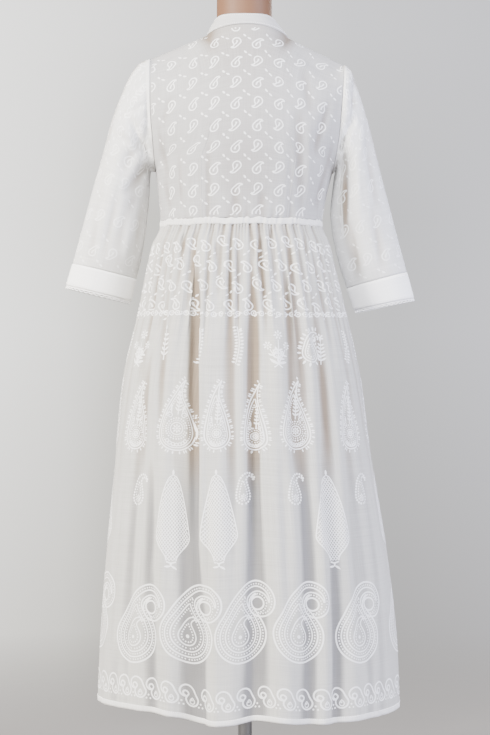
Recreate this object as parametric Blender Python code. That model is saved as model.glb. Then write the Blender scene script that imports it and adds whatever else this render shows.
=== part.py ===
"""Anarkali gown on a dress form, in metres, +Z up, standing on the floor at the origin.

The gown's back faces -Y and its left side, seen from behind, is -X. Each piece of cloth is a wall whose outer
face is worked out from tables of sections, so neighbouring pieces share their seam lines.
"""

from collections import namedtuple
import math

import bpy
import bmesh
import numpy as np

# Cloth and seams
WALL = 0.0011  # the solid wall that stands for one layer of cotton
BAND_WALL = 0.0019  # cuffs and piping, which are several layers
COLLAR_WALL = 0.0014
SEAM_GAP = 0.0003  # between pieces that are sewn together
JOIN = 0.0002  # more than that, where a seam curves
LAYER_GAP = 0.0003  # between a panel and what lies on it

# Heights above the floor
WAIST_SEAM = 1.0735
PIPING_HEIGHT = 0.0090
PIPING_PROUD = 0.0007
SKIRT_TOP = WAIST_SEAM - PIPING_HEIGHT / 2 - SEAM_GAP
BODICE_BOTTOM = WAIST_SEAM + PIPING_HEIGHT / 2 + SEAM_GAP
ARMPIT = 1.1690
NECK_SIDE = {-1: 1.4140, 1: 1.4095}  # where collar and shoulder seam meet, left and right
SHOULDER_TIP = {-1: 1.3715, 1: 1.3600}
NECK_CENTRE = {-1: 1.4250, 1: 1.3740}  # centre back and centre front
COLLAR_TOP = {-1: 1.4445, 1: 1.4010}
COLLAR_SIDE = 1.4370
COLLAR_WIDTH = 0.0533  # half widths and depths of the collar's top edge
COLLAR_DEPTH = 0.0550
NECK_MIDDLE = -0.0010
NECK_SLOPE = math.radians(32)  # how the bodice's edge tilts at the neckline
COLLAR_BOW = 0.0016  # how far the band swells out half way up
COLLAR_PARTING = 0.030  # in radians, how far each end stops short of the centre front
FORM_BOTTOM = 0.6360
NECK_TOP = 1.5300
NECK_ROOT = 1.4480  # where the form's neck has its full shape

# Bodice
SIDE_ROUND = 0.16  # how much fuller than an ellipse a section is towards its sides
ARMHOLE_DEPTH = 0.0560  # half the armhole, front to back
ARMHOLE_TURN = math.radians(36)  # how far the panel stops short of facing sideways at the armhole
CLOSING = 0.40  # share of the height where back and front start to lean towards the shoulder seam
NECK_SHARE = 0.275  # share of the half panel that ends in the neckline
NECK_DEPTH = {-1: 0.56, 1: 0.64}  # depth of the neckline beside the panel's
NECK_SPREAD = 2.4  # how many times wider its hollow has become lower down
NECK_CURVE = 2.2  # how late the neckline rises towards the shoulder seam
NECK_START = 0.85  # share of the height from which the hollow narrows to the neckline
DART_DEPTH = 0.0013
DART_WIDTH = 0.0050
DART_TOP = 0.50  # share of the bodice's height
DARTS = (-0.0650, 0.0790)  # from the centre line, on the back
DART_PLACES = (-0.318, 0.380)  # the same darts as shares of the half panel
DART_SHARE = 0.034  # half a dart, as such a share
DART_MARGIN = 0.045
SHOULDER_COLUMNS = 8  # points along each shoulder seam

# Skirt
GATHERS = 28  # on each of the two panels
GATHER_DEPTH = 0.0021
GATHER_LENGTH = 0.16  # the shortest gather, as a share of the skirt's length
GATHER_LONGER = 0.20  # how much longer than that the longest one is
COLUMNS_PER_GATHER = 2
SKIRT_ROWS = (0, 0.012, 0.035, 0.075, 0.13, 0.20, 0.29, 0.40, 0.53, 0.68, 0.84, 1.0)
SIDE_FOLD = 0.0130  # how deep both panels fall in at the side seams, near the hem
SIDE_FOLD_SHARE = 0.085  # half width of that fold, as a share of the half panel
SIDE_RIDGE = 0.0060  # the soft ridge beside it
SIDE_FOLD_START = 0.30  # shares of the length between which the side fold deepens
SIDE_FOLD_FULL = 0.75
FOLD_RISE = 0.25  # share of the length over which a fold deepens, and then fades
FOLD_FADE = 0.30
TOP_FOLD = 0.55  # depth of a fold at the waist beside its depth at the hem

# Sleeves, placket, buttons and lace
AROUND_SLEEVE = 24
CUFF_STATION = 8  # row of the sleeve table where the cuff band starts
ARMHOLE_ROWS = 1.6  # rows of the sleeve table over which the sleeve leaves the armhole's form
CUFF_PROUD = 0.0006  # how far the turned hem stands out from the sleeve
SLEEVE_ROWS = (0, 0.5, 1.1, 1.9, 2.8, 3.7, 4.6, 5.5, 6.4, 7.2, CUFF_STATION)
SCALLOPS = 29
SCALLOP_HEIGHT = 0.0036
LACE_TAPE = 0.0016  # straight part above the scallops
PLACKET_WIDTH = 0.0240
PLACKET_BOTTOM = 0.42  # share of the bodice's height
PLACKET_TOP = 0.975
BUTTON_RADIUS = 0.0055
BUTTON_THICK = 0.0022
BUTTONS = 4
FIRST_BUTTON = 0.48  # shares of the bodice's height
LAST_BUTTON = 0.94
NEAR = 0.01  # a small step on the panel, for finding which way it faces

# Dress form and stand
SEATED = 0.0007  # between the form and the bodice, where the gown hangs from the shoulders
CLEAR = 0.0050  # lower down
SEAT_START = 0.70  # shares of the bodice's height between which it closes in
SEAT_FULL = 0.97
NECK_CLEAR = 0.0042  # more than that beside the neckline
EDGE_CLEAR = 0.0015  # and beside the armholes
EDGE_START = 0.75  # share of the half panel from which that grows
FORM_NECK_WIDTH = 0.0498
FORM_NECK_DEPTH = 0.0500
FORM_NECK_BACK = 0.0020  # how far the neck's middle lies behind the collar's
POLE_RADIUS = 0.0125
BASE_RADIUS = 0.1800
BASE_THICK = 0.0100
SOCKET_RADIUS = 0.0220
SOCKET_HEIGHT = 0.0450
SOCKET_FILLET = 0.0030
SOFT_EDGE = 0.0040

NECK_TURNS = np.linspace(-math.pi / 2, math.pi / 2, 13)  # the neck edge's points, on back and front alike

# Colours
COTTON = (0.86, 0.86, 0.85)
BAND = (0.90, 0.90, 0.90)
TAN = (0.45, 0.30, 0.21)
STEEL = (0.30, 0.30, 0.31)

Section = namedtuple("Section", "height half_width back front centre")
BODICE_SECTIONS = [
    Section(1.0600, 0.1444, 0.1040, 0.1060, -0.0070),
    Section(1.0735, 0.1448, 0.1050, 0.1080, -0.0068),
    Section(1.1200, 0.1500, 0.1090, 0.1205, -0.0050),
    Section(1.1690, 0.1590, 0.1140, 0.1275, -0.0014),
    Section(1.2120, 0.1640, 0.1180, 0.1262, 0.0010),
    Section(1.2700, 0.1690, 0.1190, 0.1165, 0.0017),
    Section(1.3300, 0.1720, 0.1120, 0.1030, 0.0035),
    Section(1.3750, 0.1740, 0.1050, 0.0960, 0.0045),
    Section(1.4300, 0.1740, 0.1050, 0.0960, 0.0045),
]
SKIRT_SECTIONS = [
    Section(1.0735, 0.1448, 0.1050, 0.1080, -0.0068),
    Section(1.0690, 0.1450, 0.1052, 0.1083, -0.0068),
    Section(1.0410, 0.1575, 0.1140, 0.1150, -0.0075),
    Section(0.9940, 0.1690, 0.1270, 0.1260, -0.0070),
    Section(0.9187, 0.1860, 0.1440, 0.1420, -0.0055),
    Section(0.8107, 0.2110, 0.1680, 0.1640, -0.0060),
    Section(0.7117, 0.2245, 0.1870, 0.1830, -0.0045),
    Section(0.6290, 0.2340, 0.2010, 0.1970, -0.0020),
    Section(0.4850, 0.2510, 0.2220, 0.2180, 0.0030),
    Section(0.3190, 0.2660, 0.2390, 0.2350, 0.0065),
    Section(0.2100, 0.2700, 0.2460, 0.2420, 0.0065),
]
Rim = namedtuple("Rim", "rise share")  # share is the size beside the full one, or how far a blend has come
FORM_RIM = [Rim(0, 0.955), Rim(0.003, 0.985), Rim(0.010, 1.0)]
FORM_HEIGHTS = (0.71, 0.78, 0.85, 0.92, 0.985, 1.05)  # rings below the waist seam
NECK_ROOT_RINGS = [Rim(0.10, 0.35), Rim(0.28, 0.70), Rim(0.55, 0.93), Rim(1.0, 1.0)]
BUTTON_RIMS = [Rim(0, 0.93), Rim(0.25, 1), Rim(0.75, 1), Rim(1, 0.90)]
NECK_RIM = [Rim(0.004, 0.985), Rim(0, 0.92)]  # rise counts down from the neck's top
FORM_SECTIONS = [
    Section(0.6300, 0.1560, 0.1050, 0.0960, -0.0040),
    Section(0.7000, 0.1650, 0.1200, 0.1020, -0.0045),
    Section(0.7700, 0.1690, 0.1280, 0.1050, -0.0050),
    Section(0.8500, 0.1580, 0.1180, 0.1040, -0.0060),
    Section(0.9300, 0.1320, 0.0960, 0.0980, -0.0065),
    Section(0.9850, 0.1220, 0.0900, 0.0960, -0.0070),
    Section(1.0300, 0.1300, 0.0940, 0.0980, -0.0070),
    Section(1.0780, 0.1405, 0.1005, 0.1045, -0.0067),
]

# Folds of the skirt. Places are from the centre line, at the waist and at the hem. A depth below zero is a
# valley. start and end are shares of the skirt's length, left and right are half widths at the hem.
Fold = namedtuple("Fold", "waist hem start end depth left right")
BACK_FOLDS = [
    Fold(-0.128, -0.163, 0.10, 1.30, -0.0070, 0.020, 0.020),
    Fold(-0.112, -0.140, 0.15, 1.30, 0.0045, 0.016, 0.016),
    Fold(-0.085, -0.110, 0.25, 1.30, -0.0080, 0.018, 0.018),
    Fold(-0.066, -0.080, 0.02, 1.30, -0.0150, 0.034, 0.010),
    Fold(-0.040, -0.052, 0.04, 1.30, 0.0090, 0.014, 0.024),
    Fold(-0.010, -0.016, 0.04, 0.75, -0.0070, 0.014, 0.014),
    Fold(0.018, 0.008, 0.02, 1.30, -0.0160, 0.020, 0.024),
    Fold(0.046, 0.060, 0.04, 1.30, 0.0090, 0.026, 0.026),
    Fold(0.078, 0.103, 0.05, 1.30, -0.0100, 0.018, 0.022),
    Fold(0.095, 0.127, 0.08, 1.30, 0.0050, 0.016, 0.016),
    Fold(0.108, 0.150, 0.10, 1.30, -0.0080, 0.018, 0.018),
    Fold(0.118, 0.178, 0.15, 1.30, 0.0045, 0.018, 0.018),
]
FRONT_FOLDS = [
    Fold(-0.118, -0.170, 0.08, 1.30, -0.0090, 0.022, 0.018),
    Fold(-0.092, -0.132, 0.05, 1.30, 0.0070, 0.020, 0.020),
    Fold(-0.064, -0.088, 0.03, 1.30, -0.0130, 0.022, 0.018),
    Fold(-0.034, -0.046, 0.06, 1.30, 0.0085, 0.022, 0.022),
    Fold(-0.008, -0.004, 0.03, 1.30, -0.0120, 0.016, 0.024),
    Fold(0.024, 0.042, 0.05, 1.30, 0.0090, 0.024, 0.020),
    Fold(0.052, 0.084, 0.04, 1.30, -0.0120, 0.018, 0.022),
    Fold(0.080, 0.122, 0.10, 1.30, 0.0060, 0.020, 0.018),
    Fold(0.106, 0.162, 0.06, 1.30, -0.0090, 0.020, 0.020),
]
HemPoint = namedtuple("HemPoint", "across height")  # across is from -1 to 1 over the panel
BACK_HEM = [
    HemPoint(-1.00, 0.2340),
    HemPoint(-0.75, 0.2310),
    HemPoint(-0.50, 0.2330),
    HemPoint(-0.32, 0.2280),
    HemPoint(-0.20, 0.2175),
    HemPoint(-0.08, 0.2180),
    HemPoint(0.04, 0.2240),
    HemPoint(0.26, 0.2165),
    HemPoint(0.50, 0.2175),
    HemPoint(0.80, 0.2200),
    HemPoint(1.00, 0.2330),
]
FRONT_HEM = [
    HemPoint(-1.00, 0.2340),
    HemPoint(-0.85, 0.2380),
    HemPoint(-0.40, 0.2260),
    HemPoint(-0.10, 0.2220),
    HemPoint(0.30, 0.2250),
    HemPoint(0.85, 0.2390),
    HemPoint(1.00, 0.2330),
]

# Sleeve sections. Each runs from an outer to an inner point, given as the distance from the centre line and
# the height. depth is half of it from front to back, forward is how far its middle lies towards the front.
Ring = namedtuple("Ring", "outer_x outer_z inner_x inner_z depth forward")
LEFT_SLEEVE = [
    Ring(0.1700, 1.3715, 0.1606, 1.1690, 0.0560, 0.000),
    Ring(0.1885, 1.3640, 0.1640, 1.1695, 0.0580, 0.000),
    Ring(0.2060, 1.3420, 0.1665, 1.1700, 0.0590, 0.001),
    Ring(0.2228, 1.3057, 0.1685, 1.1700, 0.0600, 0.002),
    Ring(0.2412, 1.2570, 0.1700, 1.1690, 0.0595, 0.004),
    Ring(0.2560, 1.2020, 0.1712, 1.1560, 0.0570, 0.008),
    Ring(0.2756, 1.1356, 0.1745, 1.1030, 0.0530, 0.014),
    Ring(0.2986, 1.0537, 0.1860, 1.0220, 0.0470, 0.020),
    Ring(0.3123, 1.0051, 0.1971, 0.9768, 0.0430, 0.024),
    Ring(0.3240, 0.9660, 0.2070, 0.9370, 0.0410, 0.027),
]
RIGHT_SLEEVE = [
    Ring(0.1784, 1.3600, 0.1578, 1.1690, 0.0560, 0.000),
    Ring(0.1895, 1.3520, 0.1602, 1.1695, 0.0580, 0.000),
    Ring(0.1985, 1.3300, 0.1618, 1.1700, 0.0590, 0.001),
    Ring(0.2095, 1.2967, 0.1625, 1.1695, 0.0600, 0.002),
    Ring(0.2235, 1.2500, 0.1620, 1.1660, 0.0590, 0.004),
    Ring(0.2372, 1.1960, 0.1600, 1.1520, 0.0565, 0.008),
    Ring(0.2570, 1.1210, 0.1545, 1.0880, 0.0530, 0.014),
    Ring(0.2768, 1.0483, 0.1665, 1.0180, 0.0470, 0.020),
    Ring(0.2930, 0.9895, 0.1843, 0.9600, 0.0430, 0.024),
    Ring(0.3058, 0.9430, 0.1985, 0.9210, 0.0410, 0.027),
]
# Soft folds of the sleeves: where round the sleeve, 0 on top and 90 at the back, and which table rows they span
Crease = namedtuple("Crease", "angle turn start end depth width")
LEFT_CREASES = [
    Crease(62, -20, 0.2, 3.6, -0.0040, 13),
    Crease(125, -38, 2.6, 5.6, -0.0055, 15),
    Crease(150, -50, 4.4, 7.2, -0.0045, 16),
    Crease(75, 6, 4.6, 7.9, 0.0030, 20),
    Crease(300, 25, 1.0, 5.0, -0.0045, 16),
    Crease(235, 35, 3.2, 6.6, -0.0055, 16),
]
RIGHT_CREASES = [
    Crease(58, -14, 0.2, 4.2, -0.0050, 12),
    Crease(118, 8, 2.2, 6.8, -0.0060, 13),
    Crease(140, -10, 5.6, 8.0, -0.0050, 14),
    Crease(75, 8, 3.6, 7.6, 0.0030, 20),
    Crease(295, 20, 1.0, 5.2, -0.0045, 16),
    Crease(238, 30, 3.0, 6.4, -0.0050, 16),
]


def smooth_curve(known, values, wanted):
    """Values on a smooth cubic curve through the known points."""
    known = np.asarray(known, float)
    values = np.asarray(values, float)
    slopes = np.gradient(values, known)
    wanted = np.clip(wanted, known[0], known[-1])
    row = np.clip(np.searchsorted(known, wanted, side="right") - 1, 0, len(known) - 2)
    span = known[row + 1] - known[row]
    part = (wanted - known[row]) / span
    rise = 3 * part**2 - 2 * part**3
    start = part - 2 * part**2 + part**3
    stop = part**3 - part**2
    level = values[row] * (1 - rise) + values[row + 1] * rise
    return level + span * (slopes[row] * start + slopes[row + 1] * stop)


def ease(low, high, value):
    """0 below low, 1 above high, and smooth between."""
    part = np.clip((value - low) / (high - low), 0, 1)
    return part * part * (3 - 2 * part)


def section_at(table, height):
    """Half width, depths and centre of a table of sections at each height."""
    rows = sorted(table)
    heights = [row.height for row in rows]
    columns = zip(*[row[1:] for row in rows])
    return [smooth_curve(heights, column, height) for column in columns]


def roundness(angle):
    """Depth of a section at each angle from its middle, beside its depth in the middle."""
    return np.cos(angle) * (1 + SIDE_ROUND * np.sin(angle) ** 2)


def bodice_face(side, across, up, inside=0.0):
    """Outer face of the bodice, or a like face that lies inside it. side is -1 on the back and 1 on the front,
    across runs from -1 at the left edge to 1 at the right one, up from 0 at the waist to 1 at the top."""
    across, up = np.broadcast_arrays(across, up)
    right = across > 0
    share = np.clip(np.abs(across) / NECK_SHARE, 0, 1)
    neck_side = np.where(right, NECK_SIDE[1], NECK_SIDE[-1])
    tip = np.where(right, SHOULDER_TIP[1], SHOULDER_TIP[-1])
    neckline = NECK_CENTRE[side] + (neck_side - NECK_CENTRE[side]) * share**NECK_CURVE
    beyond = np.sin(np.abs(across) * math.pi / 2) - math.sin(NECK_SHARE * math.pi / 2)
    shoulder = neck_side + (tip - neck_side) * beyond / (1 - math.sin(NECK_SHARE * math.pi / 2))
    top = np.where(share < 1, neckline, shoulder) - inside
    height = BODICE_BOTTOM + up * (top - BODICE_BOTTOM)

    width, back, front, centre = section_at(BODICE_SECTIONS, height)
    width = width - inside
    depth = (back if side < 0 else front) - inside
    armpit = (ARMPIT - BODICE_BOTTOM) / (SHOULDER_TIP[-1] - BODICE_BOTTOM)
    middle, half = (1 + armpit) / 2, (1 - armpit) / 2
    arch = np.clip(1 - ((up - middle) / half) ** 2, 0, 1)
    hole = ease(0, 1, arch) + (np.sqrt(arch) - ease(0, 1, arch)) * across**4
    edge = math.pi / 2 - ARMHOLE_TURN * hole
    angle = across * edge
    leaning = np.clip((up - CLOSING) / (1 - CLOSING), 0, 1)
    wide = np.clip(np.abs(across) / (NECK_SPREAD * NECK_SHARE), 0, 1)
    at_edge = ease(NECK_START, 1, up)
    neck = NECK_DEPTH[side] ** 2 * ((1 - share**2) * at_edge + (1 - wide**2) ** 2 * (1 - at_edge))
    depth = depth * np.sqrt(np.clip(1 - leaning**2 * (1 - neck), 0, 1))
    bulge = (roundness(angle) - roundness(edge)) / (1 - roundness(edge))
    hole_depth = (ARMHOLE_DEPTH - inside) * hole
    reach = hole_depth + (depth - hole_depth) * bulge
    x = centre + width * np.sin(angle) / np.sin(edge)
    if side < 0:
        for dart in DARTS:
            crease = np.exp(-(((x - dart) / DART_WIDTH) ** 2))
            reach = reach - DART_DEPTH * crease * (1 - ease(DART_TOP * 0.5, DART_TOP, up))
    gap = 0.0 if np.any(inside) else SEAM_GAP / 2
    return np.stack([x, side * (reach + gap), height], axis=-1)


def armhole_heights(count):
    """Shares of the bodice's height from the armpit to the top, close together at both ends."""
    armpit = (ARMPIT - BODICE_BOTTOM) / (SHOULDER_TIP[-1] - BODICE_BOTTOM)
    turn = np.linspace(0, math.pi, count)
    return (1 + armpit) / 2 - (1 - armpit) / 2 * np.cos(turn)


def fold_reach(folds, share, drop, width):
    """How far the large folds move the skirt in or out at each place. share is the place across the panel, as a
    share of its half width."""
    hem_width = SKIRT_SECTIONS[-1].half_width
    waist_width = SKIRT_SECTIONS[0].half_width
    reach = np.zeros_like(width)
    for fold in folds:
        way = ease(0, 1, drop) * 0.5 + drop * 0.5
        place = (fold.waist / waist_width) * (1 - way) + (fold.hem / hem_width) * way
        scale = 1 - TOP_FOLD * (1 - width / hem_width)
        away = (share - place) * hem_width
        half = np.where(away < 0, fold.left, fold.right) * scale
        begun = ease(fold.start, fold.start + FOLD_RISE, drop)
        shown = begun * (1 - ease(fold.end - FOLD_FADE, fold.end, drop))
        deep = fold.depth * (TOP_FOLD + (1 - TOP_FOLD) * drop)
        reach = reach + deep * shown * np.exp(-((away / half) ** 2))
    return reach


def gather_reach(across, drop, seed):
    """Small gathers under the waist seam. Every few of them runs further down than the others."""
    count = (across + 1) / 2 * GATHERS
    number = np.round(count)
    uneven = 0.75 + 0.25 * np.sin(number * 2.4 + seed)
    length = GATHER_LENGTH + GATHER_LONGER * np.sin(number * 1.7 + seed * 2) ** 2
    fade = 1 - ease(0.3, 1.0, drop / length)
    grow = 0.55 + 0.45 * ease(0, 0.05, drop) + 0.9 * ease(0.03, 0.15, drop)
    edge = 1 - across**12
    return -GATHER_DEPTH * uneven * grow * fade * edge * np.cos(2 * math.pi * count)


def skirt_face(side, across, drop):
    """Outer face of a skirt panel. drop runs from 0 at the waist seam to 1 at the hem."""
    across, drop = np.broadcast_arrays(across, drop)
    hem = BACK_HEM if side < 0 else FRONT_HEM
    hem_height = smooth_curve([p.across for p in hem], [p.height for p in hem], across)
    height = SKIRT_TOP - drop * (SKIRT_TOP - hem_height)
    width, back, front, centre = section_at(SKIRT_SECTIONS, height)
    depth = back if side < 0 else front
    angle = across * math.pi / 2
    share = np.sin(angle)
    folds = BACK_FOLDS if side < 0 else FRONT_FOLDS
    reach = fold_reach(folds, share, drop, width)
    reach = reach + gather_reach(across, drop, 1.0 if side < 0 else 4.0)
    low = ease(SIDE_FOLD_START, SIDE_FOLD_FULL, drop)
    reach = reach * (1 - across**10)
    reach = reach - SIDE_FOLD * low * np.exp(-(((1 - np.abs(across)) / SIDE_FOLD_SHARE) ** 2))
    beside = (1 - 2.3 * SIDE_FOLD_SHARE - np.abs(across)) / (1.2 * SIDE_FOLD_SHARE)
    reach = reach + SIDE_RIDGE * low * np.exp(-(beside**2))
    normal = np.stack([share / width, side * np.cos(angle) / depth], axis=-1)
    normal = normal / np.linalg.norm(normal, axis=-1, keepdims=True)
    x = centre + width * share + reach * normal[..., 0]
    y = side * (depth * roundness(angle) + SEAM_GAP / 2) + reach * normal[..., 1]
    return np.stack([x, y, height], axis=-1)


def sleeve_face(side, angle, station):
    """Outer face of a sleeve. angle is 0 on top and 90 degrees at the back, station is a row of its table."""
    angle, station = np.broadcast_arrays(angle, station)
    table = LEFT_SLEEVE if side < 0 else RIGHT_SLEEVE
    rows = np.arange(len(table))
    columns = [smooth_curve(rows, column, station) for column in zip(*table)]
    outer_x, outer_z, inner_x, inner_z, depth, forward = columns
    high, back = np.cos(angle), np.sin(angle)
    reach = np.zeros_like(depth)
    for crease in LEFT_CREASES if side < 0 else RIGHT_CREASES:
        way = (station - crease.start) / (crease.end - crease.start)
        place = np.radians(crease.angle + crease.turn * way)
        away = np.degrees(np.abs(np.angle(np.exp(1j * (angle - place)))))
        shown = np.sin(np.pi * np.clip(way, 0, 1)) ** 0.8
        reach = reach + crease.depth * shown * np.exp(-((away / crease.width) ** 2))
    swell = 1 + reach / (0.5 * np.hypot(outer_x - inner_x, outer_z - inner_z))
    out = (outer_x + inner_x) / 2 + (outer_x - inner_x) / 2 * high * swell
    z = (outer_z + inner_z) / 2 + (outer_z - inner_z) / 2 * high * swell
    y = forward - depth * back * swell

    armpit = (ARMPIT - BODICE_BOTTOM) / (SHOULDER_TIP[-1] - BODICE_BOTTOM)
    up = (1 + armpit) / 2 + (1 - armpit) / 2 * high
    ahead = bodice_face(1, float(side), up)
    behind = bodice_face(-1, float(side), up)
    hole = np.where((back > 0)[..., None], behind, ahead)
    near = 1 - ease(0, ARMHOLE_ROWS, station)
    first = [column[0] for column in zip(*table)]
    flat_x = (first[0] + first[2]) / 2 + (first[0] - first[2]) / 2 * high
    flat_z = (first[1] + first[3]) / 2 + (first[1] - first[3]) / 2 * high
    out = out + near * (side * hole[..., 0] + SEAM_GAP + JOIN - flat_x)
    z = z + near * (hole[..., 2] - flat_z)
    y = y + near * (hole[..., 1] + ARMHOLE_DEPTH * back)
    return np.stack([side * out, y, z], axis=-1)


def neckline(turn):
    """The bodice's neck edge. turn is 0 at the centre back and half a circle at the centre front."""
    share = NECK_SHARE * np.sin(turn)
    behind = bodice_face(-1, share, 1.0)
    ahead = bodice_face(1, share, 1.0)
    return np.where((np.cos(turn) > 0)[..., None], behind, ahead)


def collar_face(turn, up):
    """Outer face of the band collar. up runs from 0 at the neckline to 1 at its top edge."""
    turn, up = np.broadcast_arrays(turn, up)
    base = neckline(turn)
    base[..., 2] += SEAM_GAP + JOIN
    back = (1 + np.cos(turn)) / 2
    edge = COLLAR_TOP[-1] * back + COLLAR_TOP[1] * (1 - back)
    edge = edge + (COLLAR_SIDE - (COLLAR_TOP[-1] + COLLAR_TOP[1]) / 2) * np.sin(turn) ** 2
    x = COLLAR_WIDTH * np.sin(turn) + NECK_MIDDLE
    y = -COLLAR_DEPTH * np.cos(turn)
    top = np.stack([x, y, edge], axis=-1)
    out = np.stack([np.sin(turn), -np.cos(turn), 0 * turn], axis=-1)
    bow = COLLAR_BOW * np.sin(math.pi * up)[..., None]
    return base + (top - base) * up[..., None] + out * bow


def normals_of(points, closed):
    """Unit normals of a grid of points, from its differences both ways."""
    if closed:
        along_row = np.roll(points, -1, axis=1) - np.roll(points, 1, axis=1)
    else:
        along_row = np.gradient(points, axis=1)
    normal = np.cross(along_row, np.gradient(points, axis=0))
    return normal / np.linalg.norm(normal, axis=2, keepdims=True)


def unit(vectors):
    return vectors / np.linalg.norm(vectors, axis=-1, keepdims=True)


def new_object(name, vertices, faces, colour, roughness=0.8):
    """An object with its own material, its faces turned outwards."""
    mesh = bpy.data.meshes.new(name)
    mesh.from_pydata([tuple(v) for v in vertices], [], faces)
    builder = bmesh.new()
    builder.from_mesh(mesh)
    bmesh.ops.remove_doubles(builder, verts=builder.verts, dist=0.000001)
    bmesh.ops.recalc_face_normals(builder, faces=builder.faces)
    if builder.calc_volume(signed=True) < 0:
        bmesh.ops.reverse_faces(builder, faces=builder.faces)
    builder.to_mesh(mesh)
    builder.free()
    mesh.shade_smooth()
    mesh.set_sharp_from_angle(angle=math.radians(50))
    thing = bpy.data.objects.new(name, mesh)
    bpy.context.collection.objects.link(thing)
    paint(thing, colour, roughness)
    return thing


def paint(thing, colour, roughness, metallic=0.0):
    material = bpy.data.materials.new(thing.name)
    material.use_nodes = True
    shader = material.node_tree.nodes["Principled BSDF"]
    shader.inputs["Base Color"].default_value = (*colour, 1)
    shader.inputs["Roughness"].default_value = roughness
    shader.inputs["Metallic"].default_value = metallic
    thing.data.materials.clear()
    thing.data.materials.append(material)


def grid_faces(rows, columns, closed, first=0, turned=False):
    """Quads over a grid of vertices that starts at first."""
    steps = columns if closed else columns - 1
    faces = []
    for row in range(rows - 1):
        for column in range(steps):
            beside = (column + 1) % columns
            a = first + row * columns + column
            b = first + row * columns + beside
            quad = (a, b, b + columns, a + columns)
            faces.append(quad[::-1] if turned else quad)
    return faces


def wall(name, points, normals, thick, colour, closed=False):
    """A wall of cloth: the outer points, the same points moved in, and the rims between them."""
    rows, columns = points.shape[:2]
    inner = points - normals * thick
    count = rows * columns
    faces = grid_faces(rows, columns, closed)
    faces += grid_faces(rows, columns, closed, count, turned=True)
    rims = [[row * columns + c for c in range(columns)] for row in (0, rows - 1)]
    if not closed:
        rims += [[r * columns + column for r in range(rows)] for column in (0, columns - 1)]
    for rim in rims:
        ends = list(zip(rim, rim[1:] + rim[:1] if closed else rim[1:]))
        faces += [(a, b, b + count, a + count) for a, b in ends]
    vertices = np.concatenate([points.reshape(-1, 3), inner.reshape(-1, 3)])
    return new_object(name, vertices, faces, colour)


def outward(points, normals):
    """Normals turned so that they point away from the middle of the grid's own rows."""
    middle = points.mean(axis=(0, 1))
    middle[1] *= 0.0
    away = (points - middle) * np.array([1, 1, 0.2])
    return normals * np.sign((normals * away).sum(axis=2).mean())


def level_rims(normals, side, columns, armpit_row):
    """The wall's edge runs straight in at the side seams, straight down at the shoulder seams, and away from
    the neck's middle along the neckline."""
    normals[: armpit_row + 1, [0, -1], 1] = 0
    normals[-1, np.abs(columns) > NECK_SHARE, :2] = 0
    neck = np.abs(columns) < NECK_SHARE + 0.0001
    turn = np.arcsin(np.clip(columns[neck] / NECK_SHARE, -1, 1))
    slope = NECK_SLOPE + (math.pi / 2 - NECK_SLOPE) * np.abs(np.sin(turn)) ** 3 * 0.8
    level = np.cos(slope)
    normals[-1, neck] = np.stack([np.sin(turn) * level, side * np.cos(turn) * level, np.sin(slope)], axis=-1)
    return unit(normals)


def bodice_columns(side):
    """Places across a bodice panel, with the neck edge's points and three over each dart."""
    shoulder = np.linspace(NECK_SHARE, 1, SHOULDER_COLUMNS)
    places = np.concatenate([-shoulder, shoulder, NECK_SHARE * np.sin(NECK_TURNS)[1:-1]])
    if side < 0:
        for dart in DART_PLACES:
            far = np.abs(places - dart) > DART_MARGIN
            places = places[far | (np.abs(places) == NECK_SHARE)]
            places = np.append(places, [dart - DART_SHARE, dart, dart + DART_SHARE])
    return np.sort(places)


def bodice_heights():
    """Shares of the bodice's height: three steps up to the armpit, then as many as the armhole has points."""
    above = armhole_heights(AROUND_SLEEVE // 2 + 1)
    return np.concatenate([np.linspace(0, above[0], 4)[:-1], above])


def make_bodice(side):
    columns = bodice_columns(side)
    heights = bodice_heights()
    points = bodice_face(side, columns[None, :], heights[:, None])
    normals = outward(points, normals_of(points, closed=False))
    normals = level_rims(normals, side, columns, 3)
    name = "bodice_back" if side < 0 else "bodice_front"
    return wall(name, points, normals, WALL, COTTON)


def make_skirt(side):
    columns = np.linspace(-1, 1, GATHERS * COLUMNS_PER_GATHER + 1)
    points = skirt_face(side, columns[None, :], np.array(SKIRT_ROWS)[:, None])
    normals = outward(points, normals_of(points, closed=False))
    normals[:, [0, -1], 1] = 0
    normals[[0, -1], :, 2] = 0
    name = "skirt_back" if side < 0 else "skirt_front"
    return wall(name, points, unit(normals), WALL, COTTON)


def make_piping():
    """The raised line of the waist seam, all round."""
    turn = np.linspace(0, 2 * math.pi, 56, endpoint=False)
    behind = np.cos(turn) > 0
    width, back, front, centre = section_at(BODICE_SECTIONS, np.array(WAIST_SEAM))
    side = np.where(behind, -1, 1)
    depth = np.where(behind, back, front)
    x = centre + width * np.sin(turn)
    y = -depth * np.cos(turn) * (1 + SIDE_ROUND * np.sin(turn) ** 2)
    y = y + side * SEAM_GAP / 2 * np.abs(np.cos(turn))
    flat = np.stack([x, y, 0 * x], axis=-1)
    away = unit(np.stack([np.sin(turn) / width, -np.cos(turn) / depth, 0 * turn], axis=-1))
    rows = [
        flat + away * PIPING_PROUD + np.array([0, 0, WAIST_SEAM + up * PIPING_HEIGHT / 2])
        for up in (-1, 1)
    ]
    points = np.stack(rows)
    normals = np.stack([away, away])
    return wall("waist_piping", points, normals, BAND_WALL, BAND, closed=True)


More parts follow.
